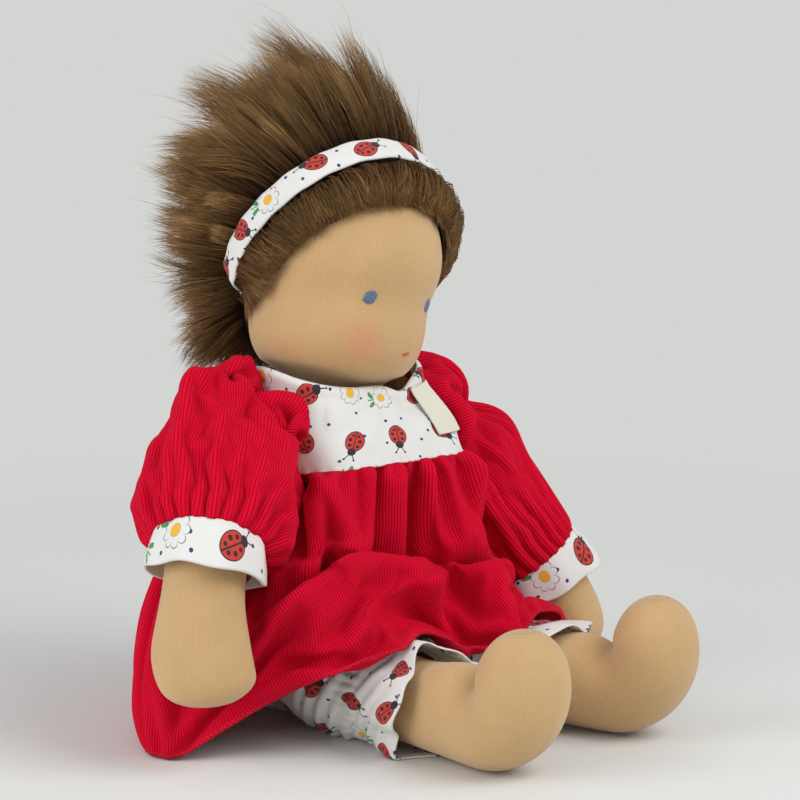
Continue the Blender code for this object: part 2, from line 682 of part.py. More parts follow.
def leg_points(splay, side, shares):
    """Points of the leg's middle line, from the hip's pivot, at shares of its run."""
    run = np.asarray(shares) * LEG_RUN - LEG_ROOT_RADIUS
    angle = np.clip((run - LEG_REACH) / HEEL_TURN_RADIUS, 0.0, math.pi / 2)
    forward = np.minimum(run, LEG_REACH) + HEEL_TURN_RADIUS * np.sin(angle)
    up = HEEL_TURN_RADIUS * (1.0 - np.cos(angle)) + np.maximum(run - LEG_REACH - HEEL_RUN, 0.0)
    up -= ANKLE_DROP * np.clip(run / LEG_REACH, 0.0, 1.0)
    return np.stack([side * math.sin(splay) * forward, -math.cos(splay) * forward, up], axis=1)


def leg_radii(share):
    """Half widths across the leg and half thicknesses in the plane of its bend."""
    leg = LEG_ROOT_RADIUS + (ANKLE_RADIUS - LEG_ROOT_RADIUS) * smoothstep(share, HIP_SHARE, 0.5)
    foot = smoothstep(share, 0.62, 0.79)
    root = np.sqrt(np.clip(1.0 - np.clip(1.0 - share / HIP_SHARE, 0.0, 1.0) ** 2, 0.0, 1.0))
    end = np.sqrt(np.clip(1.0 - (np.clip(share - 0.875, 0.0, 1.0) / 0.1265) ** 2, 0.0, 1.0))
    wide = (leg + (FOOT_HALF_WIDTH - leg) * foot) * end * root
    thick = (leg + (FOOT_HALF_THICKNESS - leg) * foot) * end * root
    return wide, thick


def leg_rings(splay, side, inset):
    path = leg_points(splay, side, LEG_SHARES * (1.0 - inset / LEG_RUN))
    wide, thick = leg_radii(LEG_SHARES)
    rings = limb_rings(path, np.maximum(wide - inset, GAP), np.maximum(thick - inset, GAP),
                       (side * math.cos(splay), math.sin(splay), 0.0), LEG_SIDES)
    return rings[1:-2] if inset else rings


def make_leg(side, splay, name, pivot):
    """A tricot leg and foot, open where it is sewn into the hip, over its wool stuffing."""
    cover = new_object("leg_cover_" + name, loft(leg_rings(splay, side, 0.0), close_end=True), "tricot", pivot)
    thicken(cover, SKIN, -1.0)
    stuffing = loft(leg_rings(splay, side, SKIN + GAP * 3), close_start=True, close_end=True)
    new_object("leg_stuffing_" + name, stuffing, "wool", pivot)


# Dress

def yoke_outline(turn, share, proud):
    """The yoke's level section: nearly square in front, rounder behind and at the neckline.

    The reach at each turn is that of a rounded rectangle, the sum of two powers, which is an oval at
    a power of 2 and grows squarer with the power.
    """
    front = smoothstep(-np.sin(turn), -0.3, 0.4)
    depth = YOKE_BACK_HALF_DEPTH + (YOKE_FRONT_HALF_DEPTH - YOKE_BACK_HALF_DEPTH) * front
    half_width = YOKE_HALF_WIDTH + (NECKLINE_HALF_WIDTH - YOKE_HALF_WIDTH) * share + proud
    half_depth = depth + (NECKLINE_HALF_DEPTH - depth) * share + proud
    power = 2.6 + 2.6 * front * (1.0 - 0.7 * share)
    reach = np.abs(np.cos(turn) / half_width) ** power + np.abs(np.sin(turn) / half_depth) ** power
    reach = reach ** (-1.0 / power)
    return np.cos(turn) * reach, np.sin(turn) * reach - TORSO_FORWARD


def yoke_bottom(turn):
    """Height of the seam between yoke and skirt, which rises a little in front."""
    return YOKE_BOTTOM + YOKE_FRONT_RISE * smoothstep(-np.sin(turn), 0.3, 0.9)


def yoke_point(turn, share, proud):
    """A point of the yoke's inner face, which leans in from the chest to the neckline."""
    x, y = yoke_outline(turn, share, proud)
    bottom = yoke_bottom(turn)
    top = YOKE_TOP - NECKLINE_FRONT_DIP * smoothstep(-math.sin(turn), 0.0, 1.0)
    top -= NECKLINE_BACK_DIP * smoothstep(math.sin(turn), 0.0, 1.0)
    return np.array([x, y, bottom + (top - bottom) * share + proud * share])


def make_yoke():
    """The printed front and the two backs, which meet at the shoulders and button behind."""
    seam = GAP / YOKE_HALF_WIDTH
    half = math.pi / 2
    armholes = []
    for side, word in ((LEFT_SIDE, "left"), (RIGHT_SIDE, "right")):
        bm = bmesh.new()
        bmesh.ops.create_cone(bm, cap_ends=True, segments=24, radius1=ARMHOLE_RADIUS,
                              radius2=ARMHOLE_RADIUS, depth=YOKE_HALF_WIDTH)
        hole = new_object("cutter_armhole_" + word, bm)
        hole.rotation_euler = (0.0, half, 0.0)
        hole.location = (side * YOKE_HALF_WIDTH, -SHOULDER_FORWARD, SHOULDER_HEIGHT)
        armholes.append(hole)
    pieces = (("yoke_front", -2 * half, 0.0, 17, armholes),
              ("yoke_back_left", 0.0, half, 9, armholes[:1]),
              ("yoke_back_right", half, 2 * half, 9, armholes[1:]))
    for name, start, end, columns, holes in pieces:
        turns = np.linspace(start + seam, end - seam, columns)
        shares = np.linspace(0.0, 1.0, 6)
        outer = [[yoke_point(t, share, COTTON) for t in turns] for share in shares]
        inner = [[yoke_point(t, share, 0.0) for t in turns] for share in shares]
        piece = new_object(name, patch(outer, inner), "print")
        for hole in holes:
            cut(piece, hole)


def make_buttons():
    """Two flat buttons on the right back, beside the opening."""
    for name, share in (("button_lower", 0.22), ("button_upper", 0.62)):
        turn = math.pi / 2 + BUTTON_RADIUS * 1.4 / YOKE_BACK_HALF_DEPTH
        point = yoke_point(turn, share, COTTON + GAP * 2 + BUTTON_THICKNESS / 2)
        lean = yoke_point(turn, share + 0.05, 0.0) - yoke_point(turn, share - 0.05, 0.0)
        tilt = math.pi / 2 - math.atan2(lean[1], lean[2])
        bm = bmesh.new()
        bmesh.ops.create_cone(bm, cap_ends=True, segments=16, radius1=BUTTON_RADIUS,
                              radius2=BUTTON_RADIUS, depth=BUTTON_THICKNESS)
        bmesh.ops.rotate(bm, verts=bm.verts[:], matrix=Matrix.Rotation(tilt, 3, "X"))
        bmesh.ops.translate(bm, verts=bm.verts[:], vec=point)
        new_object(name, bm, "button")


def make_label():
    """A blank woven tab, sewn flat on the chest at the doll's left."""
    middle = -math.radians(51.0)
    half = LABEL_WIDTH / 3 / YOKE_FRONT_HALF_DEPTH
    turns = np.linspace(middle - half, middle + half, 5)
    span = LABEL_HEIGHT / (YOKE_TOP - NECKLINE_FRONT_DIP - YOKE_BOTTOM)
    shares = np.linspace(0.28, 0.28 + span, 5)
    low, high = COTTON + GAP * 2, COTTON + GAP * 2 + LABEL_THICKNESS
    outer = [[yoke_point(t, share, high) for t in turns] for share in shares]
    inner = [[yoke_point(t, share, low) for t in turns] for share in shares]
    new_object("chest_tab", patch(outer, inner), "tape")


SLEEVE_SHARES = np.array([0.12, 0.26, 0.44, 0.62, 0.80, 0.92, 1.00])
SLEEVE_FULL_SHARES = np.array([0.0, 0.80, 0.95, 1.0, 0.98, 0.80, 0.0])
SLEEVE_END_SHARE = {RIGHT_SIDE: 0.50, LEFT_SIDE: 0.585}
SLEEVE_RISE = {RIGHT_SIDE: SLEEVE_RISE_RIGHT, LEFT_SIDE: SLEEVE_RISE_LEFT}
SLEEVE_PUFF_RADIUS = {RIGHT_SIDE: SLEEVE_PUFF_RADIUS_RIGHT, LEFT_SIDE: SLEEVE_PUFF_RADIUS_LEFT}


def sleeve_line(side):
    """The sleeve's middle line, raised above the arm at the puff, and its radii."""
    end = SLEEVE_END_SHARE[side]
    rise = SLEEVE_RISE[side] * np.exp(-((SLEEVE_SHARES - 0.36) / 0.20) ** 2)
    rise[0] = SLEEVE_ROOT_RISE
    path = arm_places(side, SLEEVE_SHARES * end) + UP * rise[:, None]
    ends = SLEEVE_ROOT_RADIUS + (CUFF_RADIUS - SLEEVE_ROOT_RADIUS) * SLEEVE_SHARES
    return path, ends + (SLEEVE_PUFF_RADIUS[side] - ends) * SLEEVE_FULL_SHARES


def cuff_direction(side):
    """The way the arm points where the sleeve ends and the cuff starts."""
    end = SLEEVE_END_SHARE[side]
    before, after = arm_places(side, np.array([end - 0.03, end + 0.03]))
    return after - before


def sleeve_spread(heights):
    """How far the sleeve spreads fore and aft at shares of its radius up: narrow on top near the armhole."""
    fade = 1.0 - smoothstep(SLEEVE_SHARES, 0.30, 0.75)
    return 1.0 + (0.25 - 0.95 * smoothstep(heights, -0.6, 0.9)) * fade[:, None]


def sleeve_rings(side, sides):
    """A puffed tube round the arm, gathered at the armhole and again at the cuff."""
    path, radii = sleeve_line(side)
    rings = limb_rings(path, radii, radii, (0.0, -0.6, 0.8), sides, (side, 0.0, 0.0), cuff_direction(side))
    turns = np.linspace(0.0, 2.0 * math.pi, sides, endpoint=False)
    pleats = 1.0 + 0.045 * np.cos(turns * 7.0)[None, :, None] * SLEEVE_FULL_SHARES[:, None, None]
    offsets = (rings - path[:, None, :]) * pleats
    offsets[..., 1] *= sleeve_spread(offsets[..., 2] / radii[:, None])
    rings = path[:, None, :] + offsets
    beside = YOKE_HALF_WIDTH + COTTON + GAP * 2 + CORDUROY
    rings[..., 0] = side * np.maximum(np.abs(rings[..., 0]), beside)
    return rings


def make_sleeve(side, name, pivot):
    sleeve = new_object("sleeve_" + name, loft(sleeve_rings(side, 21)), "corduroy", pivot)
    thicken(sleeve, CORDUROY, 1.0)
    line = arm_points(side, 101)
    run = np.concatenate([[0.0], np.cumsum(np.linalg.norm(np.diff(line, axis=0), axis=1))])
    start = np.interp(SLEEVE_END_SHARE[side], np.linspace(0.0, 1.0, 101), run)
    start += CORDUROY + GAP
    along = np.linspace(start, start + CUFF_LENGTH, 4)
    path = np.stack([np.interp(along, run, line[:, i]) for i in range(3)], axis=1)
    radii = CUFF_RADIUS + (CUFF_RADIUS / 12) * np.linspace(0.0, 1.0, 4)
    rings = limb_rings(path, radii, radii, (0.0, -0.6, 0.8), 21, cuff_direction(side))
    cuff = new_object("cuff_" + name, loft(rings), "print", pivot)
    thicken(cuff, COTTON * 2, 1.0)


# Skirt: hem and fall lines go round from the front by the doll's right, in shares of SKIRT_LENGTH
# from the torso's middle at floor level

SKIRT_HEM_SHARES = (
    (0.05, -0.72, 0.31), (-0.21, -0.71, 0.38), (-0.48, -0.60, 0.27), (-0.74, -0.40, 0.11),
    (-0.95, -0.185, 0.012), (-0.85, 0.00, 0.012), (-0.71, 0.21, 0.012), (-0.44, 0.44, 0.012),
    (0.00, 0.60, 0.012), (0.45, 0.52, 0.012), (0.73, 0.30, 0.012), (0.87, 0.03, 0.012),
    (0.88, -0.275, 0.065), (0.765, -0.55, 0.21), (0.47, -0.71, 0.40), (0.26, -0.725, 0.35),
)
SKIRT_FALL_SHARES = (
    (0.00, -0.435, 0.48), (-0.24, -0.45, 0.515), (-0.48, -0.41, 0.50), (-0.66, -0.30, 0.50),
    (-0.76, -0.10, 0.52), (-0.85, 0.14, 0.56), (-0.82, 0.32, 0.56), (-0.48, 0.50, 0.50),
    (0.00, 0.56, 0.45), (0.45, 0.50, 0.46), (0.70, 0.32, 0.50), (0.74, 0.08, 0.52),
    (0.66, -0.12, 0.50), (0.50, -0.30, 0.50), (0.38, -0.39, 0.50), (0.20, -0.44, 0.50),
)
SKIRT_FALL_WEIGHT = 1.3


def push_off_limb(points, path, radii, room):
    """Points moved straight out of a limb given by its middle line and radii, to lie room off it."""
    moved = points.copy()
    for start, end, near, far in zip(path, path[1:], radii, radii[1:]):
        run = end - start
        share = np.clip(((moved - start) @ run) / (run @ run), 0.0, 1.0)
        foot = start + share[:, None] * run
        away = moved - foot
        distance = np.linalg.norm(away, axis=1)
        wanted = near + (far - near) * share + room
        short = distance < wanted
        away /= np.maximum(distance, GAP)[:, None]
        moved[short] = foot[short] + away[short] * wanted[short, None]
    return moved


def push_off_torso(points, room):
    """Points moved out of the torso's outline at their own height."""
    share = np.clip((points[:, 2] - SEAT) / (TORSO_TOP - SEAT), 0.0, 1.0)
    wide, deep, forward = (np.interp(share, TORSO_SECTION_SHARES[:, 0], TORSO_SECTION_SHARES[:, i])
                           for i in (1, 2, 3))
    wide = TORSO_HALF_WIDTH * wide + room
    deep = TORSO_HALF_DEPTH * deep + room
    middle = -TORSO_FORWARD * forward
    inside = np.hypot(points[:, 0] / wide, (points[:, 1] - middle) / deep)
    scale = 1.0 / np.clip(inside, 0.2, 1.0)
    return np.stack([points[:, 0] * scale, middle + (points[:, 1] - middle) * scale, points[:, 2]], axis=1)


def skirt_grid(columns, rows):
    """The skirt's middle surface: from the yoke's seam, over lap and hips, out to the hem."""
    turns = -math.pi / 2 - np.arange(columns) * 2.0 * math.pi / columns
    middle = np.array([0.0, -TORSO_FORWARD, 0.0])
    seam = np.stack([*yoke_outline(turns, 0.0, CORDUROY / 2), yoke_bottom(turns) - GAP * 3], axis=1)
    hem = closed_curve(SKIRT_HEM_SHARES, columns) * SKIRT_LENGTH + middle
    fall = closed_curve(SKIRT_FALL_SHARES, columns) * SKIRT_LENGTH + middle
    grid = []
    for share in np.linspace(0.0, 1.0, rows):
        pull = 2 * SKIRT_FALL_WEIGHT * share * (1 - share)
        ring = (1 - share) ** 2 * seam + pull * fall + share ** 2 * hem
        ring /= (1 - share) ** 2 + pull + share ** 2
        outward = ring - middle
        outward[:, 2] = 0.0
        outward /= np.linalg.norm(outward, axis=1)[:, None]
        fold = np.cos(turns * 10.0 + 0.6) + 0.5 * np.cos(turns * 15.0 + 2.0)
        ring = ring + outward * (SKIRT_FOLD_DEPTH * share ** 0.7 * fold)[:, None]
        grid.append(clear_ring(ring, share))
    return grid


def clear_ring(ring, share):
    """One ring of the skirt, pushed clear of the body, the bloomers, the arms and the floor."""
    if share == 0.0:
        return ring
    for _ in range(8):
        ring = push_off_torso(ring, BLOOMER_EASE + COTTON + DRAPE_ROOM)
        for side in (RIGHT_SIDE, LEFT_SIDE):
            ring = push_off_limb(ring, *dressed_leg(side), DRAPE_ROOM)
        for side in (RIGHT_SIDE, LEFT_SIDE):
            ring = push_off_limb(ring, *dressed_arm(side), DRAPE_ROOM)
        if share < 0.2:
            beside = YOKE_HALF_WIDTH + CORDUROY / 2
            ring[:, 0] = np.clip(ring[:, 0], -beside, beside)
        ring[:, 2] = np.maximum(ring[:, 2], CORDUROY / 2 + GAP)
    return ring


def dressed_leg(side):
    """The middle line and outer radii of a bloomer leg with its ruffle, and the shin beyond it."""
    splay = LEG_SPLAY_LEFT if side == LEFT_SIDE else LEG_SPLAY_RIGHT
    hip = np.array([side * HIP_SPACING / 2, -HIP_FORWARD, HIP_HEIGHT])
    shares = np.linspace(HIP_SHARE, 0.66, 12)
    path = leg_points(splay, side, shares) + hip
    reach = np.linalg.norm((path - hip)[:, :2], axis=1)
    radii = np.interp(reach, [0.0, CINCH_REACH, CINCH_REACH + RUFFLE_DEPTH, LEG_REACH],
                      [BLOOMER_LEG_RADIUS, BLOOMER_LEG_RADIUS, RUFFLE_FLARE + RUFFLE_WAVE, ANKLE_RADIUS])
    return path, radii + COTTON


def dressed_arm(side):
    """The middle line and outer radii of a sleeve, its cuff and the hand."""
    shoulder = np.array([0.0, -SHOULDER_FORWARD, SHOULDER_HEIGHT])
    path, radii = sleeve_line(side)
    hand_shares = np.array([0.62, 0.70, 0.80, 0.90]) + SLEEVE_END_SHARE[side] - SLEEVE_END_SHARE[RIGHT_SIDE]
    path = np.concatenate([path, arm_places(side, hand_shares)]) + shoulder
    widest = sleeve_spread(np.full((len(radii), 1), -0.5))[:, 0]
    radii = radii * (1.03 + 0.6 * (widest - 1.0)) + CORDUROY
    radii = np.concatenate([radii, [CUFF_RADIUS * 1.1 + COTTON * 2] * 2, [HAND_HALF_WIDTH] * 2])
    return path, radii


def make_skirt():
    grid = skirt_grid(56, 9)
    skirt = new_object("skirt", loft(grid), "corduroy")
    thicken(skirt, CORDUROY, 0.0)


# Bloomers

def make_bloomers(well):
    """The seat, open at the waist and cut out for the legs, with the elastic in its top casing."""
    heights = (0.0, 0.06, 0.18, 0.34, 0.50)
    rings = []
    for share in heights:
        grow = GAP * 1.5 if share == 0.0 else BLOOMER_EASE
        rings.append(torso_ring(share, grow, 24, COTTON + share * TORSO_TOP))
    waist_share = BLOOMER_WAIST_HEIGHT / TORSO_TOP
    rings.append(torso_ring(waist_share, BLOOMER_EASE, 24, BLOOMER_WAIST_HEIGHT))
    seat = new_object("bloomer_seat", loft(rings, close_start=True), "print")
    thicken(seat, COTTON, 1.0)
    cut(seat, well)
    low = BLOOMER_WAIST_HEIGHT - WAIST_ELASTIC_WIDTH
    inner = torso_ring(low / TORSO_TOP, GAP, 24, low)
    upper = torso_ring(waist_share, GAP, 24, BLOOMER_WAIST_HEIGHT)
    waist = new_object("waist_elastic", loft([inner, upper]), "elastic")
    thicken(waist, ELASTIC_THICKNESS, 1.0)


def leg_tube(splay, side, reaches, radii, sides, wave=None):
    """Rings round the leg at distances forward of the hip, kept above the floor."""
    shares = np.linspace(HIP_SHARE, 0.7, 141)
    line = leg_points(splay, side, shares)
    run = np.linalg.norm(line[:, :2], axis=1)
    path = np.stack([np.interp(reaches, run, line[:, i]) for i in range(3)], axis=1)
    across = (side * math.cos(splay), math.sin(splay), 0.0)
    forward = (side * math.sin(splay), -math.cos(splay), 0.0)
    rings = limb_rings(path, radii, radii, across, sides, forward)
    if wave is not None:
        turns = np.linspace(0.0, 2.0 * math.pi, sides, endpoint=False)
        ripple = 1.0 + (wave / np.asarray(radii))[:, None] * np.cos(turns * 8.0)[None, :]
        rings = path[:, None, :] + (rings - path[:, None, :]) * ripple[..., None]
    rings[..., 2] = np.maximum(rings[..., 2], COTTON * 1.2 - HIP_HEIGHT)
    return rings


def make_bloomer_leg(side, splay, name, pivot):
    """A puffed leg drawn in by an elastic, and the ruffle that stands beyond it."""
    shares = np.linspace(HIP_SHARE, 0.5, 51)
    run = np.linalg.norm(leg_points(splay, side, shares)[:, :2], axis=1)
    snug = leg_radii(np.interp([CINCH_REACH], run, shares))[0][0]
    cinch = snug + GAP * 3 + ELASTIC_THICKNESS
    reaches = np.array([BLOOMER_LEG_START, (BLOOMER_LEG_START * 2 + CINCH_REACH) / 3,
                        (BLOOMER_LEG_START + CINCH_REACH * 2) / 3, CINCH_REACH])
    radii = np.array([BLOOMER_LEG_RADIUS - COTTON, BLOOMER_LEG_RADIUS, BLOOMER_LEG_RADIUS, cinch + COTTON])
    leg = new_object("bloomer_leg_" + name, loft(leg_tube(splay, side, reaches, radii, 20)), "print", pivot)
    thicken(leg, COTTON, 1.0)
    band = np.array([CINCH_REACH, CINCH_REACH + LEG_ELASTIC_WIDTH])
    tight = np.array([cinch, cinch]) - ELASTIC_THICKNESS
    elastic = new_object("leg_elastic_" + name, loft(leg_tube(splay, side, band, tight, 20)), "elastic", pivot)
    thicken(elastic, ELASTIC_THICKNESS, 1.0)
    start = CINCH_REACH + COTTON * 2
    reaches = start + np.array([0.0, 0.15, 0.55, 1.0]) * RUFFLE_DEPTH
    radii = np.array([cinch + COTTON, cinch + COTTON, (cinch + RUFFLE_FLARE) / 2, RUFFLE_FLARE])
    wave = RUFFLE_WAVE * np.array([0.0, 0.0, 0.6, 1.0])
    ruffle = new_object("leg_ruffle_" + name,
                        loft(leg_tube(splay, side, reaches, radii, 32, wave)), "print", pivot)
    thicken(ruffle, COTTON, 1.0)


# Build

neck_pivot = new_pivot("neck_pivot", NECK)
head_center = new_pivot("head_center", HEAD_OFFSET, (0.0, HEAD_ROLL, HEAD_YAW), neck_pivot)
shoulders, hips = {}, {}
for place, word in ((LEFT_SIDE, "left"), (RIGHT_SIDE, "right")):
    shoulders[place] = new_pivot("shoulder_pivot_" + word, (0.0, -SHOULDER_FORWARD, SHOULDER_HEIGHT))
    hips[place] = new_pivot("hip_pivot_" + word, (place * HIP_SPACING / 2, -HIP_FORWARD, HIP_HEIGHT))
make_head(neck_pivot, head_center)
make_wig(head_center)
make_headband(head_center)
make_neck_tie(neck_pivot)
hip_well = make_torso()
make_yoke()
make_buttons()
make_label()
make_skirt()
make_bloomers(hip_well)
for place, word, splay in ((LEFT_SIDE, "left", LEG_SPLAY_LEFT), (RIGHT_SIDE, "right", LEG_SPLAY_RIGHT)):
    make_arm(place, word, shoulders[place])
    make_leg(place, splay, word, hips[place])
    make_sleeve(place, word, shoulders[place])
    make_bloomer_leg(place, splay, word, hips[place])
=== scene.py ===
"""Looks of the seated cloth doll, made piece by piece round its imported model.

Metres, +Z up. The doll faces -Y, its own left is +X, and the origin is where its seat meets the floor.
"""
import json
import math

import bpy
import numpy as np
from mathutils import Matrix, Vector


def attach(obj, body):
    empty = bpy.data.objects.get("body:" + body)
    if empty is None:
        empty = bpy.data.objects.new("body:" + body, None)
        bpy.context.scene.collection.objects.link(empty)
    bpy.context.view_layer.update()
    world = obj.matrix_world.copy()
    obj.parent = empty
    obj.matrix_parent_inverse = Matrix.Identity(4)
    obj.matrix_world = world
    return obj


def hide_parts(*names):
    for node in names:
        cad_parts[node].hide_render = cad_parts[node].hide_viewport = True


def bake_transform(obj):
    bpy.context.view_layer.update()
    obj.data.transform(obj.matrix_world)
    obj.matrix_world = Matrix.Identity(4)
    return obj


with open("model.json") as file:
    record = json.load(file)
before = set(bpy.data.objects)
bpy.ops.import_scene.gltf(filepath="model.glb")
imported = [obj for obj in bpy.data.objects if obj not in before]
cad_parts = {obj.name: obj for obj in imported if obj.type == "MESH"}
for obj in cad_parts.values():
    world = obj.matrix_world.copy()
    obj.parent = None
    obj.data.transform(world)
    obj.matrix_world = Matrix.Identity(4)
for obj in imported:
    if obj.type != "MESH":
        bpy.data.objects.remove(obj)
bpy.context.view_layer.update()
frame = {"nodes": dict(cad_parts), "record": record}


# Wool stuffing: carded sheep's wool, wound hard for the head and pressed into body, arms and legs.
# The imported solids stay, under the tricot, with the soft tangle of fleece as their finish.

WOOL_NODES = ("head_core", "torso_stuffing", "arm_stuffing_left", "arm_stuffing_right",
              "leg_stuffing_left", "leg_stuffing_right")
WOOL_LIGHT = (0.88, 0.82, 0.70)
WOOL_DARK = (0.66, 0.57, 0.43)
FLEECE_SCALE = 180.0


class Value:
    """A socket of a finish. Sums, products and comparisons of values add their Math nodes."""

    def __init__(self, finish, socket):
        self.finish = finish
        self.socket = socket

    def maths(self, operation, *others):
        return self.finish.node("ShaderNodeMath", {"operation": operation}, self, *others)

    def __add__(self, other):
        return self.maths("ADD", other)

    def __sub__(self, other):
        return self.maths("SUBTRACT", other)

    def __rsub__(self, other):
        return self.finish.node("ShaderNodeMath", {"operation": "SUBTRACT"}, other, self)

    def __mul__(self, other):
        return self.maths("MULTIPLY", other)

    def __truediv__(self, other):
        return self.maths("DIVIDE", other)

    def __pow__(self, other):
        return self.maths("POWER", other)

    def __lt__(self, other):
        return self.maths("LESS_THAN", other)

    def __gt__(self, other):
        return self.maths("GREATER_THAN", other)

    __radd__ = __add__
    __rmul__ = __mul__

    def step(self, low, high):
        """A smooth ramp from 0 at low to 1 at high."""
        settings = {"interpolation_type": "SMOOTHSTEP"}
        return self.finish.node("ShaderNodeMapRange", settings, self, low, high, 0.0, 1.0)


class Finish:
    """A material in the making: one method adds any node, the rest are short forms of it."""

    def __init__(self, name, roughness, **constants):
        self.material = bpy.data.materials.new(name)
        self.material.use_nodes = True
        self.tree = self.material.node_tree
        self.shader = self.tree.nodes["Principled BSDF"]
        self.shader.inputs["Roughness"].default_value = roughness
        for socket, value in constants.items():
            self.shader.inputs[socket.replace("_", " ")].default_value = value

    def node(self, kind, settings, *values, output=0):
        """Adds a node with its settings, then the values or links of its sockets, in order or by name."""
        made = self.tree.nodes.new(kind)
        for name, value in settings.items():
            setattr(made, name, value)
        if values and isinstance(values[0], dict):
            pairs = [(made.inputs[name], value) for name, value in values[0].items()]
        else:
            pairs = zip([socket for socket in made.inputs if socket.enabled], values)
        for socket, value in pairs:
            if isinstance(value, Value):
                self.tree.links.new(value.socket, socket)
            elif value is not None:
                socket.default_value = value
        return Value(self, [socket for socket in made.outputs if socket.enabled][output])

    def place(self):
        """Object coordinates, which for every piece here are metres in the doll's own frame."""
        return self.node("ShaderNodeTexCoord", {}, output=3)

    def split(self, vector):
        """The three numbers of a vector or a colour."""
        parts = self.node("ShaderNodeSeparateXYZ", {}, vector).socket.node.outputs
        return [Value(self, part) for part in parts]

    def measure(self, operation, *vectors):
        """A length or a distance of vectors."""
        made = self.node("ShaderNodeVectorMath", {"operation": operation}, *vectors)
        return Value(self, made.socket.node.outputs["Value"])

    def flat(self):
        """The two coordinates of the piece's flat cut, in metres: across the wales and along them."""
        return self.split(self.node("ShaderNodeUVMap", {"uv_map": "flat"}))[:2]

    def noise(self, vector, scale, detail=2.0, roughness=0.5):
        sockets = {"Vector": vector, "Scale": scale, "Detail": detail, "Roughness": roughness}
        return self.node("ShaderNodeTexNoise", {}, sockets)

    def mix(self, share, first, second):
        """A colour between two, where a plain colour is a tuple."""
        first, second = (c if isinstance(c, Value) else (*c, 1.0) for c in (first, second))
        return self.node("ShaderNodeMix", {"data_type": "RGBA"}, share, first, second)

    def end(self, colour, height=None, depth=0.0, roughness=None):
        """Joins the colour, and the relief of a depth in metres, to the shader."""
        self.tree.links.new(colour.socket, self.shader.inputs["Base Color"])
        if roughness is not None:
            self.tree.links.new(roughness.socket, self.shader.inputs["Roughness"])
        if height is not None:
            relief = self.node("ShaderNodeBump", {}, {"Distance": depth, "Height": height})
            self.tree.links.new(relief.socket, self.shader.inputs["Normal"])
        return self.material


def fleece():
    finish = Finish("wool_fleece", 0.95)
    tangle = finish.noise(finish.place(), FLEECE_SCALE, 6.0, 0.7)
    return finish.end(finish.mix(tangle, WOOL_DARK, WOOL_LIGHT), tangle, 0.0006)


def finish_node(name, material):
    """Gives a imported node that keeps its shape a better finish."""
    obj = frame["nodes"][name]
    if not obj.data.materials:
        obj.data.materials.append(None)
    obj.material_slots[0].material = material


wool = fleece()
for name in WOOL_NODES:
    finish_node(name, wool)


# Body: brushed tricot sewn as a bag and stuffed hard, open at the neck and cut away over the hips
# where the legs are sewn in. The dress and bloomers hide all of it.

TRICOT_LIGHT = (0.65, 0.425, 0.197)
TRICOT_DARK = (0.45, 0.27, 0.115)
TRICOT_WALE = 0.00115
TRICOT_COURSE = 0.00085
TORSO_HALF_WIDTH = 0.0430
TORSO_HALF_DEPTH = 0.0365
TORSO_TOP = 0.1495
TORSO_FORWARD = 0.0240
TORSO_SECTION_SHARES = np.array([
    # height of TORSO_TOP, half width, half depth, forward of TORSO_FORWARD
    (0.00, 0.56, 0.62, 0.12), (0.06, 0.86, 0.80, 0.24), (0.18, 0.98, 0.94, 0.44),
    (0.34, 1.00, 1.00, 0.66), (0.52, 0.99, 0.98, 0.84), (0.70, 0.98, 0.95, 0.97),
    (0.84, 0.98, 0.91, 1.00), (0.92, 0.97, 0.86, 1.00), (0.97, 0.86, 0.78, 1.00),
    (1.00, 0.62, 0.68, 1.00),
])
COTTON = 0.0010
HIP = np.array([0.0, -0.0320, 0.0262])
HIP_WELL_RADIUS = 0.0225
CUT_OVERRUN = 0.2
UP = np.array([0.0, 0.0, 1.0])


def smoothstep(value, low, high):
    """A smooth ramp from 0 at low to 1 at high."""
    share = np.clip((value - low) / (high - low), 0.0, 1.0)
    return share * share * (3.0 - 2.0 * share)


def bell(value, middle, width):
    """A bell that is 1 at its middle and falls to about a third a width away."""
    return np.exp(-((value - middle) / width) ** 2)


def wrap(turn):
    """Angles brought to within half a turn of zero."""
    return (turn + math.pi) % (2.0 * math.pi) - math.pi


def full_turn(count, start=0.0):
    """Angles at even steps once round."""
    return start + np.arange(count) * (2.0 * math.pi / count)


def circle(count):
    """Points at even steps on a level circle with a radius of 1."""
    turns = full_turn(count)
    return np.stack([np.cos(turns), np.sin(turns), np.zeros(count)], axis=1)


def flat_places(across, along):
    """The place of each point of a grid in the flat cut: columns across it, rows along it."""
    return np.stack(np.meshgrid(across, along), axis=-1)


def grid_faces(rows, columns, closed):
    """The quads of a grid of points. closed joins its last column to its first."""
    i = (np.arange(rows - 1) * columns)[:, None]
    j = np.arange(columns if closed else columns - 1)[None, :]
    k = (j + 1) % columns
    return np.stack([i + j, i + k, i + columns + k, i + columns + j], axis=-1).reshape(-1, 4)


def grid_corners(flat):
    """The flat places of the corners of those quads, in the same order."""
    corners = [flat[:-1, :-1], flat[:-1, 1:], flat[1:, 1:], flat[1:, :-1]]
    return np.stack(corners, axis=2).reshape(-1, 2)


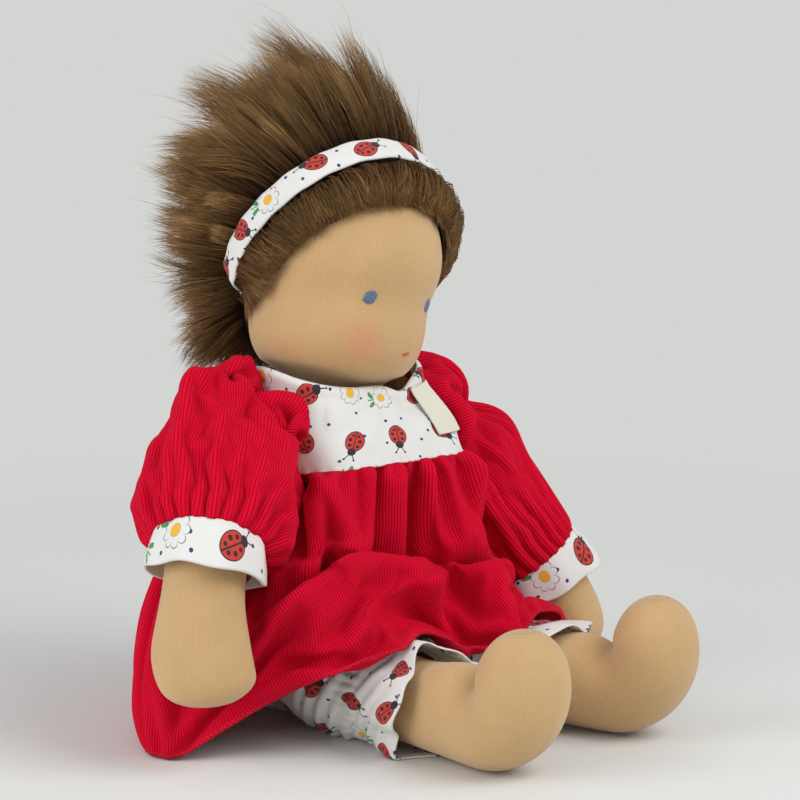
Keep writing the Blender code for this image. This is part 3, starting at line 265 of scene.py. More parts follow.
def build_mesh(name, points, faces, flat=None, uv_name="flat"):
    """A smooth piece from points and from arrays of quads or triangles, with one UV pair a corner."""
    mesh = bpy.data.meshes.new(name)
    corners = np.concatenate([face.ravel() for face in faces])
    sizes = np.concatenate([np.full(len(face), face.shape[1]) for face in faces])
    starts = np.concatenate([[0], np.cumsum(sizes)[:-1]])
    mesh.vertices.add(len(points))
    mesh.vertices.foreach_set("co", np.asarray(points, np.float32).ravel())
    mesh.loops.add(len(corners))
    mesh.loops.foreach_set("vertex_index", corners.astype(np.int32))
    mesh.polygons.add(len(sizes))
    mesh.polygons.foreach_set("loop_start", starts.astype(np.int32))
    if flat is not None:
        layer = mesh.uv_layers.new(name=uv_name)
        layer.data.foreach_set("uv", np.asarray(flat, np.float32).ravel())
    mesh.update()
    mesh.validate()
    mesh.shade_smooth()
    obj = bpy.data.objects.new(name, mesh)
    bpy.context.scene.collection.objects.link(obj)
    return obj


def grid_piece(name, grid, flat, closed=False, caps=(False, False)):
    """A surface over a grid of points, rows by columns, whose faces point away from its middle.

    closed joins the last column to the first, and flat then has one more column. A cap closes the
    first or the last row round a point at its middle.
    """
    rows, columns = grid.shape[:2]
    quads = grid_faces(rows, columns, closed)
    points, faces, places = [grid.reshape(-1, 3)], [quads], [grid_corners(flat)]
    start = np.arange(flat.shape[1] - 1)
    for wanted, row, near, far in ((caps[0], 0, 1, 0), (caps[1], rows - 1, 0, 1)):
        if not wanted:
            continue
        middle = rows * columns + len(points) - 1
        points.append(grid[row].mean(axis=0)[None])
        ring = [row * columns + start, row * columns + (start + 1) % columns, np.full(len(start), middle)]
        fan = [flat[row, :-1], flat[row, 1:], (flat[row, :-1] + flat[row, 1:]) / 2]
        order = [near, far, 2]
        faces.append(np.stack(ring, axis=1)[:, order])
        places.append(np.stack(fan, axis=1)[:, order].reshape(-1, 2))
    everything = np.concatenate(points)
    a, b, c, d = (everything[quads[:, n]] for n in range(4))
    outward = np.cross(c - a, d - b) * ((a + c) / 2 - everything.mean(axis=0))
    if outward.sum() < 0:
        faces = [face[:, ::-1] for face in faces]
        places = [place.reshape(-1, face.shape[1], 2)[:, ::-1].reshape(-1, 2)
                  for place, face in zip(places, faces)]
    return build_mesh(name, everything, faces, np.concatenate(places))


def sheet_wall(obj, thickness, offset=1.0):
    """Gives a cloth its thickness: outwards, or on both sides alike with an offset of 0."""
    wall = obj.modifiers.new("cloth", "SOLIDIFY")
    wall.thickness = thickness
    wall.offset = offset


def dress(obj, material, body, slot, *nodes):
    """Gives a piece its material and its body, and hides the nodes it stands for. The slot is not used."""
    obj.data.materials.append(material)
    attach(obj, body)
    if nodes:
        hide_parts(*nodes)
    return obj


def tricot(name, blushes=(), blush_size=1.0, blush_colour=TRICOT_LIGHT):
    """Fine ribs along the piece, each a row of loops, under a short brushed nap; blushes rub in colour."""
    finish = Finish(name, 0.92, Sheen_Weight=0.25, Sheen_Roughness=0.5)
    across, along = finish.flat()
    place = finish.place()
    rib = (across * (2.0 * math.pi / TRICOT_WALE)).maths("SINE")
    loop = (along * (2.0 * math.pi / TRICOT_COURSE)).maths("SINE")
    nap = finish.noise(place, 900.0, 3.0, 0.6)
    cloud = finish.noise(place, 45.0, 2.0)
    height = rib * 0.22 + rib * loop * 0.10 + nap * 0.7
    # Where ribs, loops and nap lie low the colour darkens: painted shade in their hollows, on a random cloudy
    # tone.
    relief_shade_and_tone = height * 0.45 + cloud * 0.35 + 0.22
    colour = finish.mix(relief_shade_and_tone.step(0.0, 1.0), TRICOT_DARK, TRICOT_LIGHT)
    for centre in blushes:
        away = finish.measure("DISTANCE", place, tuple(centre))
        colour = finish.mix((1.0 - away.step(blush_size * 0.15, blush_size)) * 0.42, colour, blush_colour)
    return finish.end(colour, height, 0.00020)


def torso_section(height, grow):
    """Half width, half depth and middle of the body's oval at heights above its seat, grown outwards."""
    share = np.clip(height / TORSO_TOP, 0.0, 1.0)
    wide, deep, forward = (np.interp(share, TORSO_SECTION_SHARES[:, 0], TORSO_SECTION_SHARES[:, i])
                           for i in (1, 2, 3))
    return TORSO_HALF_WIDTH * wide + grow, TORSO_HALF_DEPTH * deep + grow, -TORSO_FORWARD * forward


def torso_ring(height, grow, turns):
    """The body's outline at a height above its seat, grown outwards: an oval."""
    half_width, half_depth, middle = torso_section(height, grow)
    return np.cos(turns) * half_width, np.sin(turns) * half_depth + middle


def hip_well():
    """A cutter: a round-topped trough across the body, open forwards and down, where the legs swing."""
    turns = np.linspace(0.0, math.pi / 2, 25)
    top = [HIP[1:] + HIP_WELL_RADIUS * np.array([math.cos(t), math.sin(t)]) for t in turns]
    profile = np.array(top + [(-CUT_OVERRUN, HIP[2] + HIP_WELL_RADIUS), (-CUT_OVERRUN, -CUT_OVERRUN),
                              (HIP[1] + HIP_WELL_RADIUS, -CUT_OVERRUN)])
    ends = [np.column_stack([np.full(len(profile), x), profile]) for x in (-CUT_OVERRUN, CUT_OVERRUN)]
    return grid_piece("hip_well", np.stack(ends), np.zeros((2, len(profile) + 1, 2)), True, (True, True))


def carve(obj, cutter):
    """Cuts a piece with a cutter for good, and removes the cutter."""
    hole = obj.modifiers.new("cut", "BOOLEAN")
    hole.operation = "DIFFERENCE"
    hole.object = cutter
    graph = bpy.context.evaluated_depsgraph_get()
    obj.data = bpy.data.meshes.new_from_object(obj.evaluated_get(graph))
    obj.modifiers.clear()
    bpy.data.objects.remove(cutter)


def make_torso():
    columns = 72
    heights = TORSO_TOP * (1.0 - np.cos(np.linspace(0.0, math.pi, 48))) / 2
    lifted = np.where(heights < COTTON, heights + COTTON * 1.5, heights)
    rings = [np.stack([*torso_ring(height, 0.0, full_turn(columns)), np.full(columns, level)], axis=1)
             for height, level in zip(heights, lifted)]
    girth = math.pi * (TORSO_HALF_WIDTH + TORSO_HALF_DEPTH)
    flat = flat_places(np.linspace(0.0, girth, columns + 1), heights)
    obj = grid_piece("torso_skin", np.stack(rings), flat, True, (True, True))
    carve(obj, hip_well())
    return obj


skin = tricot("tricot_body")
torso_skin = dress(make_torso(), skin, "torso", "tricot", "torso_cover")


# Arms: slim tricot tubes sewn to the sides of the chest and stuffed, each ending in a broad mitten
# hand with a hint of a thumb. They hang down past the hips and bend a little forward.

ARM_ROOT = np.array([0.0433, -0.0210, 0.1380])
ARM_LENGTH = 0.1500
ARM_ROOT_RADIUS = 0.0155
ARM_RADIUS = 0.0180
HAND_HALF_WIDTH = 0.0225
HAND_HALF_THICKNESS = 0.0180
THUMB_SHARE = 0.84
ARM_PATH_SHARES = {
    -1: ((0.000, 0.000, 0.000), (0.047, 0.000, 0.000), (0.157, -0.045, -0.045), (0.277, -0.130, -0.140),
         (0.392, -0.215, -0.275), (0.465, -0.270, -0.430), (0.499, -0.300, -0.565), (0.512, -0.313, -0.670),
         (0.517, -0.318, -0.725)),
    1: ((0.000, 0.000, 0.000), (0.064, 0.000, 0.000), (0.135, -0.030, -0.060), (0.225, -0.100, -0.210),
        (0.325, -0.165, -0.380), (0.430, -0.235, -0.550), (0.485, -0.275, -0.670), (0.510, -0.297, -0.760),
        (0.515, -0.302, -0.795)),
}
SIDES = ((1, "left"), (-1, "right"))


def between(a, b, c, d, s):
    """The point at a share s of the way from b to c on a smooth curve that comes from a and goes to d."""
    return 0.5 * (2 * b + (c - a) * s + (2 * a - 5 * b + 4 * c - d) * s ** 2
                  + (3 * b - a - 3 * c + d) * s ** 3)


def curve_through(points, shares):
    """Points at shares of a smooth curve through the given ones."""
    points = np.asarray(points, float)
    padded = np.vstack([2 * points[0] - points[1], points, 2 * points[-1] - points[-2]])
    steps = np.asarray(shares) * (len(points) - 1)
    k = np.clip(steps.astype(int), 0, len(points) - 2)
    s = (steps - k)[:, None]
    a, b, c, d = (padded[k + i] for i in range(4))
    return between(a, b, c, d, s)


def tube_frames(path, across, first=None, last=None):
    """For each point of a path: the direction along it, and two directions square to it."""
    along = np.gradient(path, axis=0)
    if first is not None:
        along[0] = first
    if last is not None:
        along[-1] = last
    return square_to(along, across)


def square_to(along, across):
    """Unit directions of each row, and two directions square to them, the first nearest to across."""
    along = along / np.linalg.norm(along, axis=1)[:, None]
    side = across - (along @ across)[:, None] * along
    side /= np.linalg.norm(side, axis=1)[:, None]
    return along, side, np.cross(along, side)


def tube_grid(path, frames, wide, thick, turns):
    """Rings round a path. wide and thick give the two half widths at each row and turn."""
    _, side, front = frames
    return (path[:, None, :] + (np.cos(turns) * wide)[..., None] * side[:, None, :]
            + (np.sin(turns) * thick)[..., None] * front[:, None, :])


def run_along(path):
    """The distance walked to each point of a path."""
    return np.concatenate([[0.0], np.cumsum(np.linalg.norm(np.diff(path, axis=0), axis=1))])


def arm_line(side, shares):
    """The arm's middle line at shares of its length."""
    fine = curve_through(ARM_PATH_SHARES[side], np.linspace(0.0, 1.0, 401)) * ARM_LENGTH
    steps = np.linspace(0.0, 1.0, 401)
    line = np.stack([np.interp(shares, steps, fine[:, i]) for i in range(3)], axis=-1)
    return (line + ARM_ROOT) * np.array([side, 1.0, 1.0])


def make_arm(side, word):
    rows, columns = 96, 56
    shares = 1.0 - (1.0 - np.linspace(0.0, 1.0, rows)) ** 2
    turns = full_turn(columns)
    path = arm_line(side, shares)
    arm = ARM_ROOT_RADIUS + (ARM_RADIUS - ARM_ROOT_RADIUS) * smoothstep(shares, 0.10, 0.45)
    hand = smoothstep(shares, 0.58, 0.78)
    end = np.clip(1.0 - (np.clip(shares - 0.76, 0.0, 1.0) / 0.24005) ** 2.3, 0.0, 1.0) ** (1 / 2.3)
    wide = ((arm + (HAND_HALF_WIDTH - arm) * hand) * end)[:, None]
    thick = ((arm + (HAND_HALF_THICKNESS - arm) * hand) * end)[:, None]
    thumb = bell(shares, THUMB_SHARE, 0.06)[:, None] * bell(wrap(turns), 0.0, 0.6)
    behind = wrap(turns - math.pi)
    seam = bell(behind, 0.0, 0.07)[None, :]
    back = smoothstep(shares, 0.70, 1.0)[:, None] * bell(behind, 0.0, 0.9)
    grow = 1.0 + 0.13 * thumb - 0.03 * seam - 0.20 * back
    frames = tube_frames(path, np.array([-0.55 * side, -0.80, 0.25]), (side, 0.0, 0.0))
    grid = tube_grid(path, frames, wide * grow, thick * grow, turns)
    flat = flat_places(np.linspace(0.0, 2.0 * math.pi * ARM_RADIUS, columns + 1), run_along(path))
    obj = grid_piece("arm_skin_" + word, grid, flat, True, (True, True))
    dress(obj, skin, "arm_" + word, "tricot", "arm_cover_" + word)
    return obj


for side, word in SIDES:
    make_arm(side, word)


# Legs: tricot tubes sewn in at the hips, turned up over a round heel into feet that point at the sky.
# A seam runs up the middle of each sole. The doll's left leg is splayed, its right lies almost straight.

LEG_ROOT_RADIUS = 0.0222
ANKLE_RADIUS = 0.0192
ANKLE_DROP = 0.0064
LEG_REACH = 0.1200
HEEL_TURN_RADIUS = 0.0216
FOOT_RISE = 0.0245
FOOT_HALF_WIDTH = 0.0225
FOOT_HALF_THICKNESS = 0.0194
INSTEP_FILL = 0.26
INSTEP_SHARE = 0.635
FOOT_EASE = 0.085
HIP_SPACING = 0.0490
LEG_SPLAY = {1: math.radians(17.0), -1: math.radians(1.5)}
HEEL_RUN = HEEL_TURN_RADIUS * math.pi / 2
LEG_RUN = LEG_ROOT_RADIUS + LEG_REACH + HEEL_RUN + FOOT_RISE
HIP_SHARE = LEG_ROOT_RADIUS / LEG_RUN


def leg_directions(side):
    """Level directions of a leg: forward along it, and across it to its outer side."""
    splay = LEG_SPLAY[side]
    forward = np.array([side * math.sin(splay), -math.cos(splay), 0.0])
    return forward, np.array([side * math.cos(splay), math.sin(splay), 0.0])


def leg_line(side, shares):
    """The leg's middle line: forward from behind the hip, then up round the heel."""
    run = np.asarray(shares) * LEG_RUN - LEG_ROOT_RADIUS
    angle = np.clip((run - LEG_REACH) / HEEL_TURN_RADIUS, 0.0, math.pi / 2)
    forward = np.minimum(run, LEG_REACH) + HEEL_TURN_RADIUS * np.sin(angle)
    up = HEEL_TURN_RADIUS * (1.0 - np.cos(angle)) + np.maximum(run - LEG_REACH - HEEL_RUN, 0.0)
    up = up - ANKLE_DROP * np.clip(run / LEG_REACH, 0.0, 1.0)
    line = forward[:, None] * leg_directions(side)[0] + up[:, None] * UP
    return line + HIP + np.array([side * HIP_SPACING / 2, 0.0, 0.0])


def make_leg(side, word):
    rows, columns = 120, 60
    shares = 0.005 + 0.994 * (1.0 - np.cos(np.linspace(0.0, math.pi, rows))) / 2
    turns = full_turn(columns)
    path = leg_line(side, shares)
    leg = LEG_ROOT_RADIUS + (ANKLE_RADIUS - LEG_ROOT_RADIUS) * smoothstep(shares, HIP_SHARE, 0.5)
    foot = smoothstep(shares, 0.62, 0.79)
    root = np.sqrt(np.clip(1.0 - np.clip(1.0 - shares / HIP_SHARE, 0.0, 1.0) ** 2, 0.0, 1.0))
    end = np.clip(1.0 - (np.clip(shares - 0.872, 0.0, 1.0) / 0.1285) ** 2.1, 0.0, 1.0) ** (1 / 2.1)
    wide = ((leg + (FOOT_HALF_WIDTH - leg) * foot) * end * root)[:, None]
    thick = ((leg + (FOOT_HALF_THICKNESS - leg) * foot) * end * root)[:, None]
    along = leg_line(side, shares + FOOT_EASE) - leg_line(side, shares - FOOT_EASE)
    frames = square_to(along, leg_directions(side)[1])
    sole_turn = math.pi * (1.5 if frames[2][rows // 3, 2] > 0 else 0.5)
    seam = smoothstep(shares, 0.60, 0.70)[:, None] * bell(wrap(turns - sole_turn), 0.0, 0.05)[None, :]
    upper = np.clip(-np.cos(turns - sole_turn), 0.0, 1.0) ** 1.5
    instep = bell(shares, INSTEP_SHARE, 0.085)[:, None] * upper
    grow = 1.0 - 0.022 * seam + INSTEP_FILL * instep
    grid = tube_grid(path, frames, wide * grow, thick * grow, turns)
    flat = flat_places(np.linspace(0.0, 2.0 * math.pi * ANKLE_RADIUS, columns + 1), run_along(path))
    obj = grid_piece("leg_skin_" + word, grid, flat, True, (True, True))
    dress(obj, skin, "leg_" + word, "tricot", "leg_cover_" + word)
    return obj


for side, word in SIDES:
    make_leg(side, word)


# Head: tricot drawn over the wound wool ball and tied off at the neck. A thread round the ball draws
# a shallow eye line, and red wax crayon is rubbed into the cheeks.

HEAD_HALF = np.array([0.0455, 0.0465, 0.0575])
HEAD_CENTRE = np.array([0.0015, -0.0285, 0.2085])
HEAD_ROLL = math.radians(10.0)
HEAD_YAW = math.radians(3.0)
EYE_LINE_DROP = 0.0108
EYE_LINE_DEPTH = 0.0014
JAW_SHARES = (0.28, 0.045)
NECK = np.array([0.0, -0.0240, 0.1495])
NECK_RADIUS = 0.0205
FACE_RADIUS = 0.0450
NECK_INSIDE = 0.0150
CHEEKS = ((-0.0185, -0.0335), (0.0235, -0.0320))
BLUSH_SIZE = 0.0150
BLUSH = (0.66, 0.23, 0.13)


def turn_matrix(yaw, roll):
    """A turn about the upright axis after a tilt towards one shoulder."""
    cy, sy, cr, sr = math.cos(yaw), math.sin(yaw), math.cos(roll), math.sin(roll)
    upright = np.array([[cy, -sy, 0.0], [sy, cy, 0.0], [0.0, 0.0, 1.0]])
    aside = np.array([[cr, 0.0, sr], [0.0, 1.0, 0.0], [-sr, 0.0, cr]])
    return upright @ aside


HEAD_TURN = turn_matrix(HEAD_YAW, HEAD_ROLL)


def to_doll(points):
    """Points from the ball's own frame into the doll's."""
    return points @ HEAD_TURN.T + HEAD_CENTRE


def head_surface(directions):
    """The head's skin along unit directions: an upright egg, full at the brow, the eye line drawn in."""
    reach = 1.0 / np.linalg.norm(directions / HEAD_HALF, axis=-1)
    points = directions * reach[..., None]
    height = points[..., 2]
    taper = 1.0 + JAW_SHARES[0] * smoothstep(-height, HEAD_HALF[2] / 4, HEAD_HALF[2]) - JAW_SHARES[1] * (
        smoothstep(-height, -HEAD_HALF[2] / 4, HEAD_HALF[2] / 4))
    facing = smoothstep(-points[..., 1], -HEAD_HALF[1] / 2, HEAD_HALF[1] / 2)
    groove = EYE_LINE_DEPTH * facing * bell(height, -EYE_LINE_DROP, HEAD_HALF[2] / 6)
    flat = np.stack([points[..., 0] * taper, points[..., 1] * taper, height], axis=-1)
    return flat - groove[..., None] * directions * np.array([1.0, 1.0, 0.0])


def face_point(across, height, proud=0.0):
    """The point of the face at a place across and up, in the ball's frame, lying proud of the skin."""
    aim = np.array([across, -HEAD_HALF[1], height])
    for _ in range(12):
        direction = aim / np.linalg.norm(aim)
        point = head_surface(direction)
        aim = point + np.array([across - point[0], 0.0, height - point[2]])
    return point + direction * proud


def make_head():
    columns = 128
    ring = circle(columns)
    polar = np.radians(np.linspace(148.0, 0.8, 100))[:, None, None]
    ball = to_doll(head_surface(ring[None] * np.sin(polar) + UP * np.cos(polar)))
    neck = np.stack([ring * NECK_RADIUS + NECK + UP * h for h in np.linspace(-NECK_INSIDE, 0.003, 12)])
    bridge = np.linspace(0.0, 1.0, 9)[1:-1, None, None]
    throat = neck[-1] * (1.0 - bridge) + ball[0] * bridge
    draw_in = np.sin(bridge * math.pi) * 0.0016
    throat = throat - (throat - NECK) * np.array([1.0, 1.0, 0.0]) / NECK_RADIUS * draw_in
    grid = np.concatenate([neck, throat, ball])
    face_column = columns * 3 // 4
    girth = np.linspace(0.0, 2.0 * math.pi * FACE_RADIUS, columns + 1)
    flat = flat_places(girth, run_along(grid[:, face_column]))
    obj = grid_piece("head_skin", grid, flat, True, (True, True))
    cheeks = [to_doll(face_point(*cheek)) for cheek in CHEEKS]
    face = tricot("tricot_face", blushes=cheeks, blush_size=BLUSH_SIZE, blush_colour=BLUSH)
    dress(obj, face, "head", "tricot", "head_cover")
    return obj


make_head()


# Eyes and mouth: satin stitches of stranded cotton, laid side by side through the skin. Each eye is
# seven upright stitches of blue, the mouth three short slanting ones of warm red.

EYE_SPACING = 0.0385
EYE_SIZE = 0.0054
STITCH_SLANT = 0.0003
MOUTH_PLACE = (0.0065, -0.0380)
MOUTH_STITCHES = (((-0.0031, -0.0004), (0.0006, 0.0002)), ((-0.0006, 0.0006), (0.0031, 0.0007)),
                  ((-0.0016, -0.0009), (0.0022, -0.0002)))
EYE_BLUE_LIGHT = (0.20, 0.30, 0.46)
EYE_BLUE_DARK = (0.07, 0.12, 0.24)
MOUTH_LIGHT = (0.88, 0.12, 0.05)
MOUTH_DARK = (0.66, 0.06, 0.03)
THREAD_RADIUS = 0.00042


def stranded_cotton(name, light, dark):
    finish = Finish(name, 0.45, Sheen_Weight=0.3)
    across, along = finish.flat()
    # Along the twist the colour darkens between the plies: painted shade, over a random patchy tone.
    twist = ((along * 9000.0) + (across * 6000.0)).maths("SINE")
    patchy = finish.noise(finish.place(), 700.0, 2.0)
    return finish.end(finish.mix(twist * 0.25 + patchy * 0.9, dark, light), twist, 0.0001)


def stitches(name, threads, material, node):
    """Short threads: each a round bar over the face from one place to another, sunk at both ends."""
    rows, columns = 13, 10
    shares = np.linspace(0.0, 1.0, rows)
    arch = np.clip(np.sin(shares * math.pi), 0.0, 1.0) ** 0.35
    radii = (THREAD_RADIUS * np.maximum(arch, 0.02 ** 0.35))[:, None] * np.ones(columns)
    flat = grid_corners(flat_places(np.arange(columns + 1) * 0.0003, np.arange(rows) * 0.0005))
    points, faces = [], []
    for start, end in np.array(threads):
        line = to_doll(np.stack([face_point(*(start * (1 - s) + end * s), proud)
                                 for s, proud in zip(shares, THREAD_RADIUS * (arch * 1.25 - 0.65))]))
        frames = tube_frames(line, HEAD_TURN @ np.array([0.3, 0.9, 0.1]))
        faces.append(grid_faces(rows, columns, True) + len(points) * rows * columns)
        points.append(tube_grid(line, frames, radii, radii, full_turn(columns)).reshape(-1, 3))
    obj = build_mesh(name, np.concatenate(points), faces, np.concatenate([flat] * len(points)))
    return dress(obj, material, "head", frame_slot(node), node)


def frame_slot(node):
    """The record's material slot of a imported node."""
    return next(part["material_slot"] for part in frame["record"]["subparts"] if part["node"] == node)


blue_cotton = stranded_cotton("blue_cotton", EYE_BLUE_LIGHT, EYE_BLUE_DARK)
red_cotton = stranded_cotton("red_cotton", MOUTH_LIGHT, MOUTH_DARK)
for side, word in SIDES:
    offsets = np.linspace(-0.5, 0.5, 7)
    heights = EYE_SIZE * 0.58 * (1.0 - 0.35 * np.abs(offsets * 2) ** 2.5)
    heights = heights * (1.0 + 0.07 * np.cos(offsets * 40))
    places = side * EYE_SPACING / 2 + offsets * EYE_SIZE * 0.8
    eye = [((x - STITCH_SLANT, -EYE_LINE_DROP - h), (x + STITCH_SLANT, -EYE_LINE_DROP + h))
           for x, h in zip(places, heights)]
    stitches("eye_stitches_" + word, eye, blue_cotton, "eye_" + word)
stitches("mouth_threads", np.array(MOUTH_STITCHES) + np.array(MOUTH_PLACE), red_cotton, "mouth_stitches")


# Neck tie: strong cotton thread wound twelve times round the cover below the head, which closes it.
# The imported ring keeps its shape and gets the winding as relief, with painted shade between the turns.

THREAD_LIGHT = (0.80, 0.71, 0.56)
THREAD_DARK = (0.55, 0.46, 0.33)


def wound_thread():
    finish = Finish("wound_thread", 0.7)
    place = finish.place()
    height = finish.split(place)[2]
    turn = (height * 18000.0).maths("SINE")
    # The colour darkens where the winding dips between turns: painted shade.
    return finish.end(finish.mix(turn * 0.5 + 0.5, THREAD_DARK, THREAD_LIGHT), turn, 0.0001)


finish_node("neck_tie", wound_thread())


# Wig: a knitted backing sewn to the scalp that carries long soft pile. Behind the headband the pile
# stands up and sweeps back in pointed tufts, before it the pile is combed forward over the brow.

WIG_TILT = math.radians(49.0)
WIG_YAW = math.radians(-6.0)
BACKING_LIFT = 0.0013
BACKING_THICKNESS = 0.0006
PILE_ROOT = 0.0018
PILE_LENGTH = 0.0495
CROWN_CEILING = 0.3260
FRINGE_THICKNESS = 0.0115
BAND_WIDTH = 0.0136
BAND_STANDOFF = 0.0085
BAND_LATITUDE = math.radians(14.0)
BAND_HALF_ANGLE = BAND_WIDTH / 2 / (HEAD_HALF[0] + BAND_STANDOFF)
# The root colour is painted shade deep in the pile; the tip colour is the pile's golden brown with painted
# highlight.
HAIR_ROOT_SHADE = (0.030, 0.0135, 0.0045)
HAIR_MIDDLE = (0.170, 0.082, 0.024)
HAIR_TIP_AND_HIGHLIGHT = (0.54, 0.315, 0.125)
LOCK_WAVES = np.array([[5.0, 3.0, -4.0], [4.0, -6.0, 3.0], [-3.0, 5.0, 6.0]])
LOCK_WANDER = 0.20
LOCKS = 360
CROWN_PARTS = 6
CROWN_STRANDS = 5400
FRINGE_PARTS = 2
FRINGE_STRANDS = 5800
STRAND_POINTS = 6
BACK_OF_HEAD = np.array([0.35, 0.94, 0.0])
BACKING_DARK = (0.022, 0.012, 0.006)
BACKING_LIGHT = (0.06, 0.032, 0.015)
WIG_TURN = turn_matrix(WIG_YAW, 0.0)
WIG_AXIS = WIG_TURN @ np.array([0.0, math.sin(WIG_TILT), math.cos(WIG_TILT)])
WIG_FRONT = WIG_TURN @ np.array([0.0, -math.cos(WIG_TILT), math.sin(WIG_TILT)])
WIG_SIDE = WIG_TURN @ np.array([1.0, 0.0, 0.0])
draws = np.random.default_rng(11)


def wig_direction(turn, latitude):
    """Unit direction at a turn from the top front towards the left, and a latitude to the wig's axis."""
    turn, latitude = np.broadcast_arrays(turn, latitude)
    level = np.cos(turn)[..., None] * WIG_FRONT + np.sin(turn)[..., None] * WIG_SIDE
    return np.cos(latitude)[..., None] * level + np.sin(latitude)[..., None] * WIG_AXIS


def hairline(turn):
    """Latitude of the wig's edge: low over the brow, higher behind the ears and round the nape."""
    behind = smoothstep(np.abs(turn), math.radians(85), math.radians(120))
    nape = smoothstep(np.abs(turn), math.radians(125), math.radians(165))
    return np.radians(-11.0) + np.radians(18.0) * behind - np.radians(5.0) * nape


def scalp(turn, latitude, proud):
    """Points that lie proud of the head's skin, at a turn and a latitude of the wig."""
    direction = wig_direction(turn, latitude)
    return head_surface(direction) + direction * np.asarray(proud)[..., None]


def make_backing():
    rows, columns = 30, 96
    turns = full_turn(columns)
    edge = hairline(wrap(turns))
    shares = np.linspace(0.0, 0.985, rows)[:, None]
    grid = to_doll(scalp(turns, edge + (math.pi / 2 - edge) * shares, BACKING_LIFT))
    obj = grid_piece("wig_backing", grid, np.zeros((rows, columns + 1, 2)), True, (False, True))
    sheet_wall(obj, BACKING_THICKNESS)
    finish = Finish("knitted_backing", 0.9)
    tangle = finish.noise(finish.place(), 400.0, 3.0)
    material = finish.end(finish.mix(tangle, BACKING_DARK, BACKING_LIGHT), tangle, 0.0004)
    return dress(obj, material, "head", "backing", "wig_cap")


def hair_finish():
    """Dark at the root, painted shade; golden brown at the tip, partly painted highlight; varied strand by
    strand.
    """
    finish = Finish("long_pile", 0.55, Specular_IOR_Level=0.18)
    tone, along = finish.split(finish.node("ShaderNodeUVMap", {"uv_map": "OFBake"}))[:2]
    lower = finish.mix(along.step(0.02, 0.50), HAIR_ROOT_SHADE, HAIR_MIDDLE)
    colour = finish.mix(along.step(0.35, 1.0) * (tone * 1.1 + 0.10), lower, HAIR_TIP_AND_HIGHLIGHT)
    return finish.end(finish.mix((1.0 - tone) * 0.55, colour, HAIR_ROOT_SHADE))


def strand_piece(name, lines, radii, tones, material):
    """Fine three-sided strands along lines of points, tapering to a point, closed at the root.

    lines is strands by steps by 3. Each strand keeps one column of the UV map, root to tip, at its tone.
    """
    count, steps = lines.shape[:2]
    along = np.gradient(lines, axis=1)
    along /= np.linalg.norm(along, axis=2)[..., None]
    aim = draws.normal(size=(count, 1, 3))
    side = np.cross(along, aim)
    side /= np.linalg.norm(side, axis=2)[..., None]
    front = np.cross(along, side)
    share = np.linspace(0.0, 1.0, steps)
    taper = 0.75 + 0.5 * np.sin(np.minimum(share * 4.0, math.pi / 2)) - 0.85 * share ** 1.5
    taper = radii[:, None] * taper
    rings = [lines[:, :-1] + taper[:, :-1, None] * (math.cos(t) * side[:, :-1] + math.sin(t) * front[:, :-1])
             for t in (0.0, 2.0 * math.pi / 3, 4.0 * math.pi / 3)]
    points = np.concatenate([np.stack(rings, axis=2).reshape(count, -1, 3), lines[:, -1:]], axis=1)
    tip = points.shape[1] - 1
    a, b, c = range(tip - 3, tip)
    kinds = [grid_faces(steps - 1, 3, True), np.array([[a, b, tip], [b, c, tip], [c, a, tip], [0, 2, 1]])]
    base = (np.arange(count) * (tip + 1))[:, None, None]
    level = np.append(np.repeat(share[:-1], 3), 1.0)
    flat = [np.stack([np.repeat(tones, kind.size), np.tile(level[kind.ravel()], count)], axis=1)
            for kind in kinds]
    faces = [(kind + base).reshape(-1, kind.shape[1]) for kind in kinds]
    obj = build_mesh(name, points.reshape(-1, 3), faces, np.concatenate(flat), "OFBake")
    obj.data.materials.append(material)
    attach(obj, "head")
    return obj


def at_back(direction):
    """1 at the back of the head, 0 over the crown and at the sides."""
    return smoothstep(direction @ BACK_OF_HEAD, 0.50, 0.92)[..., None]


def unit(vectors):
    """Vectors scaled to a length of 1."""
    return vectors / np.linalg.norm(vectors, axis=-1)[..., None]


def crown_lean(direction):
    """The way the pile points: out of the scalp, swept back, up over the crown and down at the nape.

    A slow wander from place to place, by sines of the direction, makes whole locks part and cross.
    """
    rise = smoothstep(direction[..., 2:], 0.0, 0.6)
    drop = smoothstep(-direction[..., 2:], -0.1, 0.5)
    behind = at_back(direction)
    back = np.array([-0.14, 0.38, 0.0]) + np.array([-0.22, 0.26, 0.0]) * rise
    sweep = back + UP * (0.12 * rise - 0.42 * drop - 0.40 * behind)
    wander = np.sin(direction @ LOCK_WAVES + np.array([0.4, 2.1, 4.0])) * LOCK_WANDER * (1.0 - 0.7 * behind)
    return unit(direction + sweep + wander)


def crown_edge(turn):
    """Where the standing pile starts: behind the band over the crown, at the hairline behind the ears."""
    below = smoothstep(np.abs(turn), math.radians(121.0), math.radians(128.0))
    top = BAND_LATITUDE + BAND_HALF_ANGLE
    return top + (hairline(turn) - top) * below


def scatter(count, lowest):
    """Even random places on the wig above a latitude that depends on the turn."""
    turn = wrap(draws.random(count * 3) * 2.0 * math.pi)
    latitude = np.arcsin(draws.uniform(math.sin(math.radians(-12.0)), 1.0, count * 3))
    kept = latitude > lowest(turn)
    return turn[kept][:count], latitude[kept][:count]


def crown_reach(roots, leans):
    """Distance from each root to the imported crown's outer face, met from outside along the lean."""
    crown = frame["nodes"]["hair_crown"]
    graph = bpy.context.evaluated_depsgraph_get()
    far = PILE_LENGTH * 3
    reach = []
    for start, lean in zip(to_doll(roots + leans * far), leans @ HEAD_TURN.T):
        hit, place, _, _ = crown.ray_cast(Vector(start), Vector(-lean), distance=far, depsgraph=graph)
        reach.append(far - (place - Vector(start)).length if hit else PILE_LENGTH / 2)
    return np.maximum(np.array(reach), PILE_LENGTH / 3)


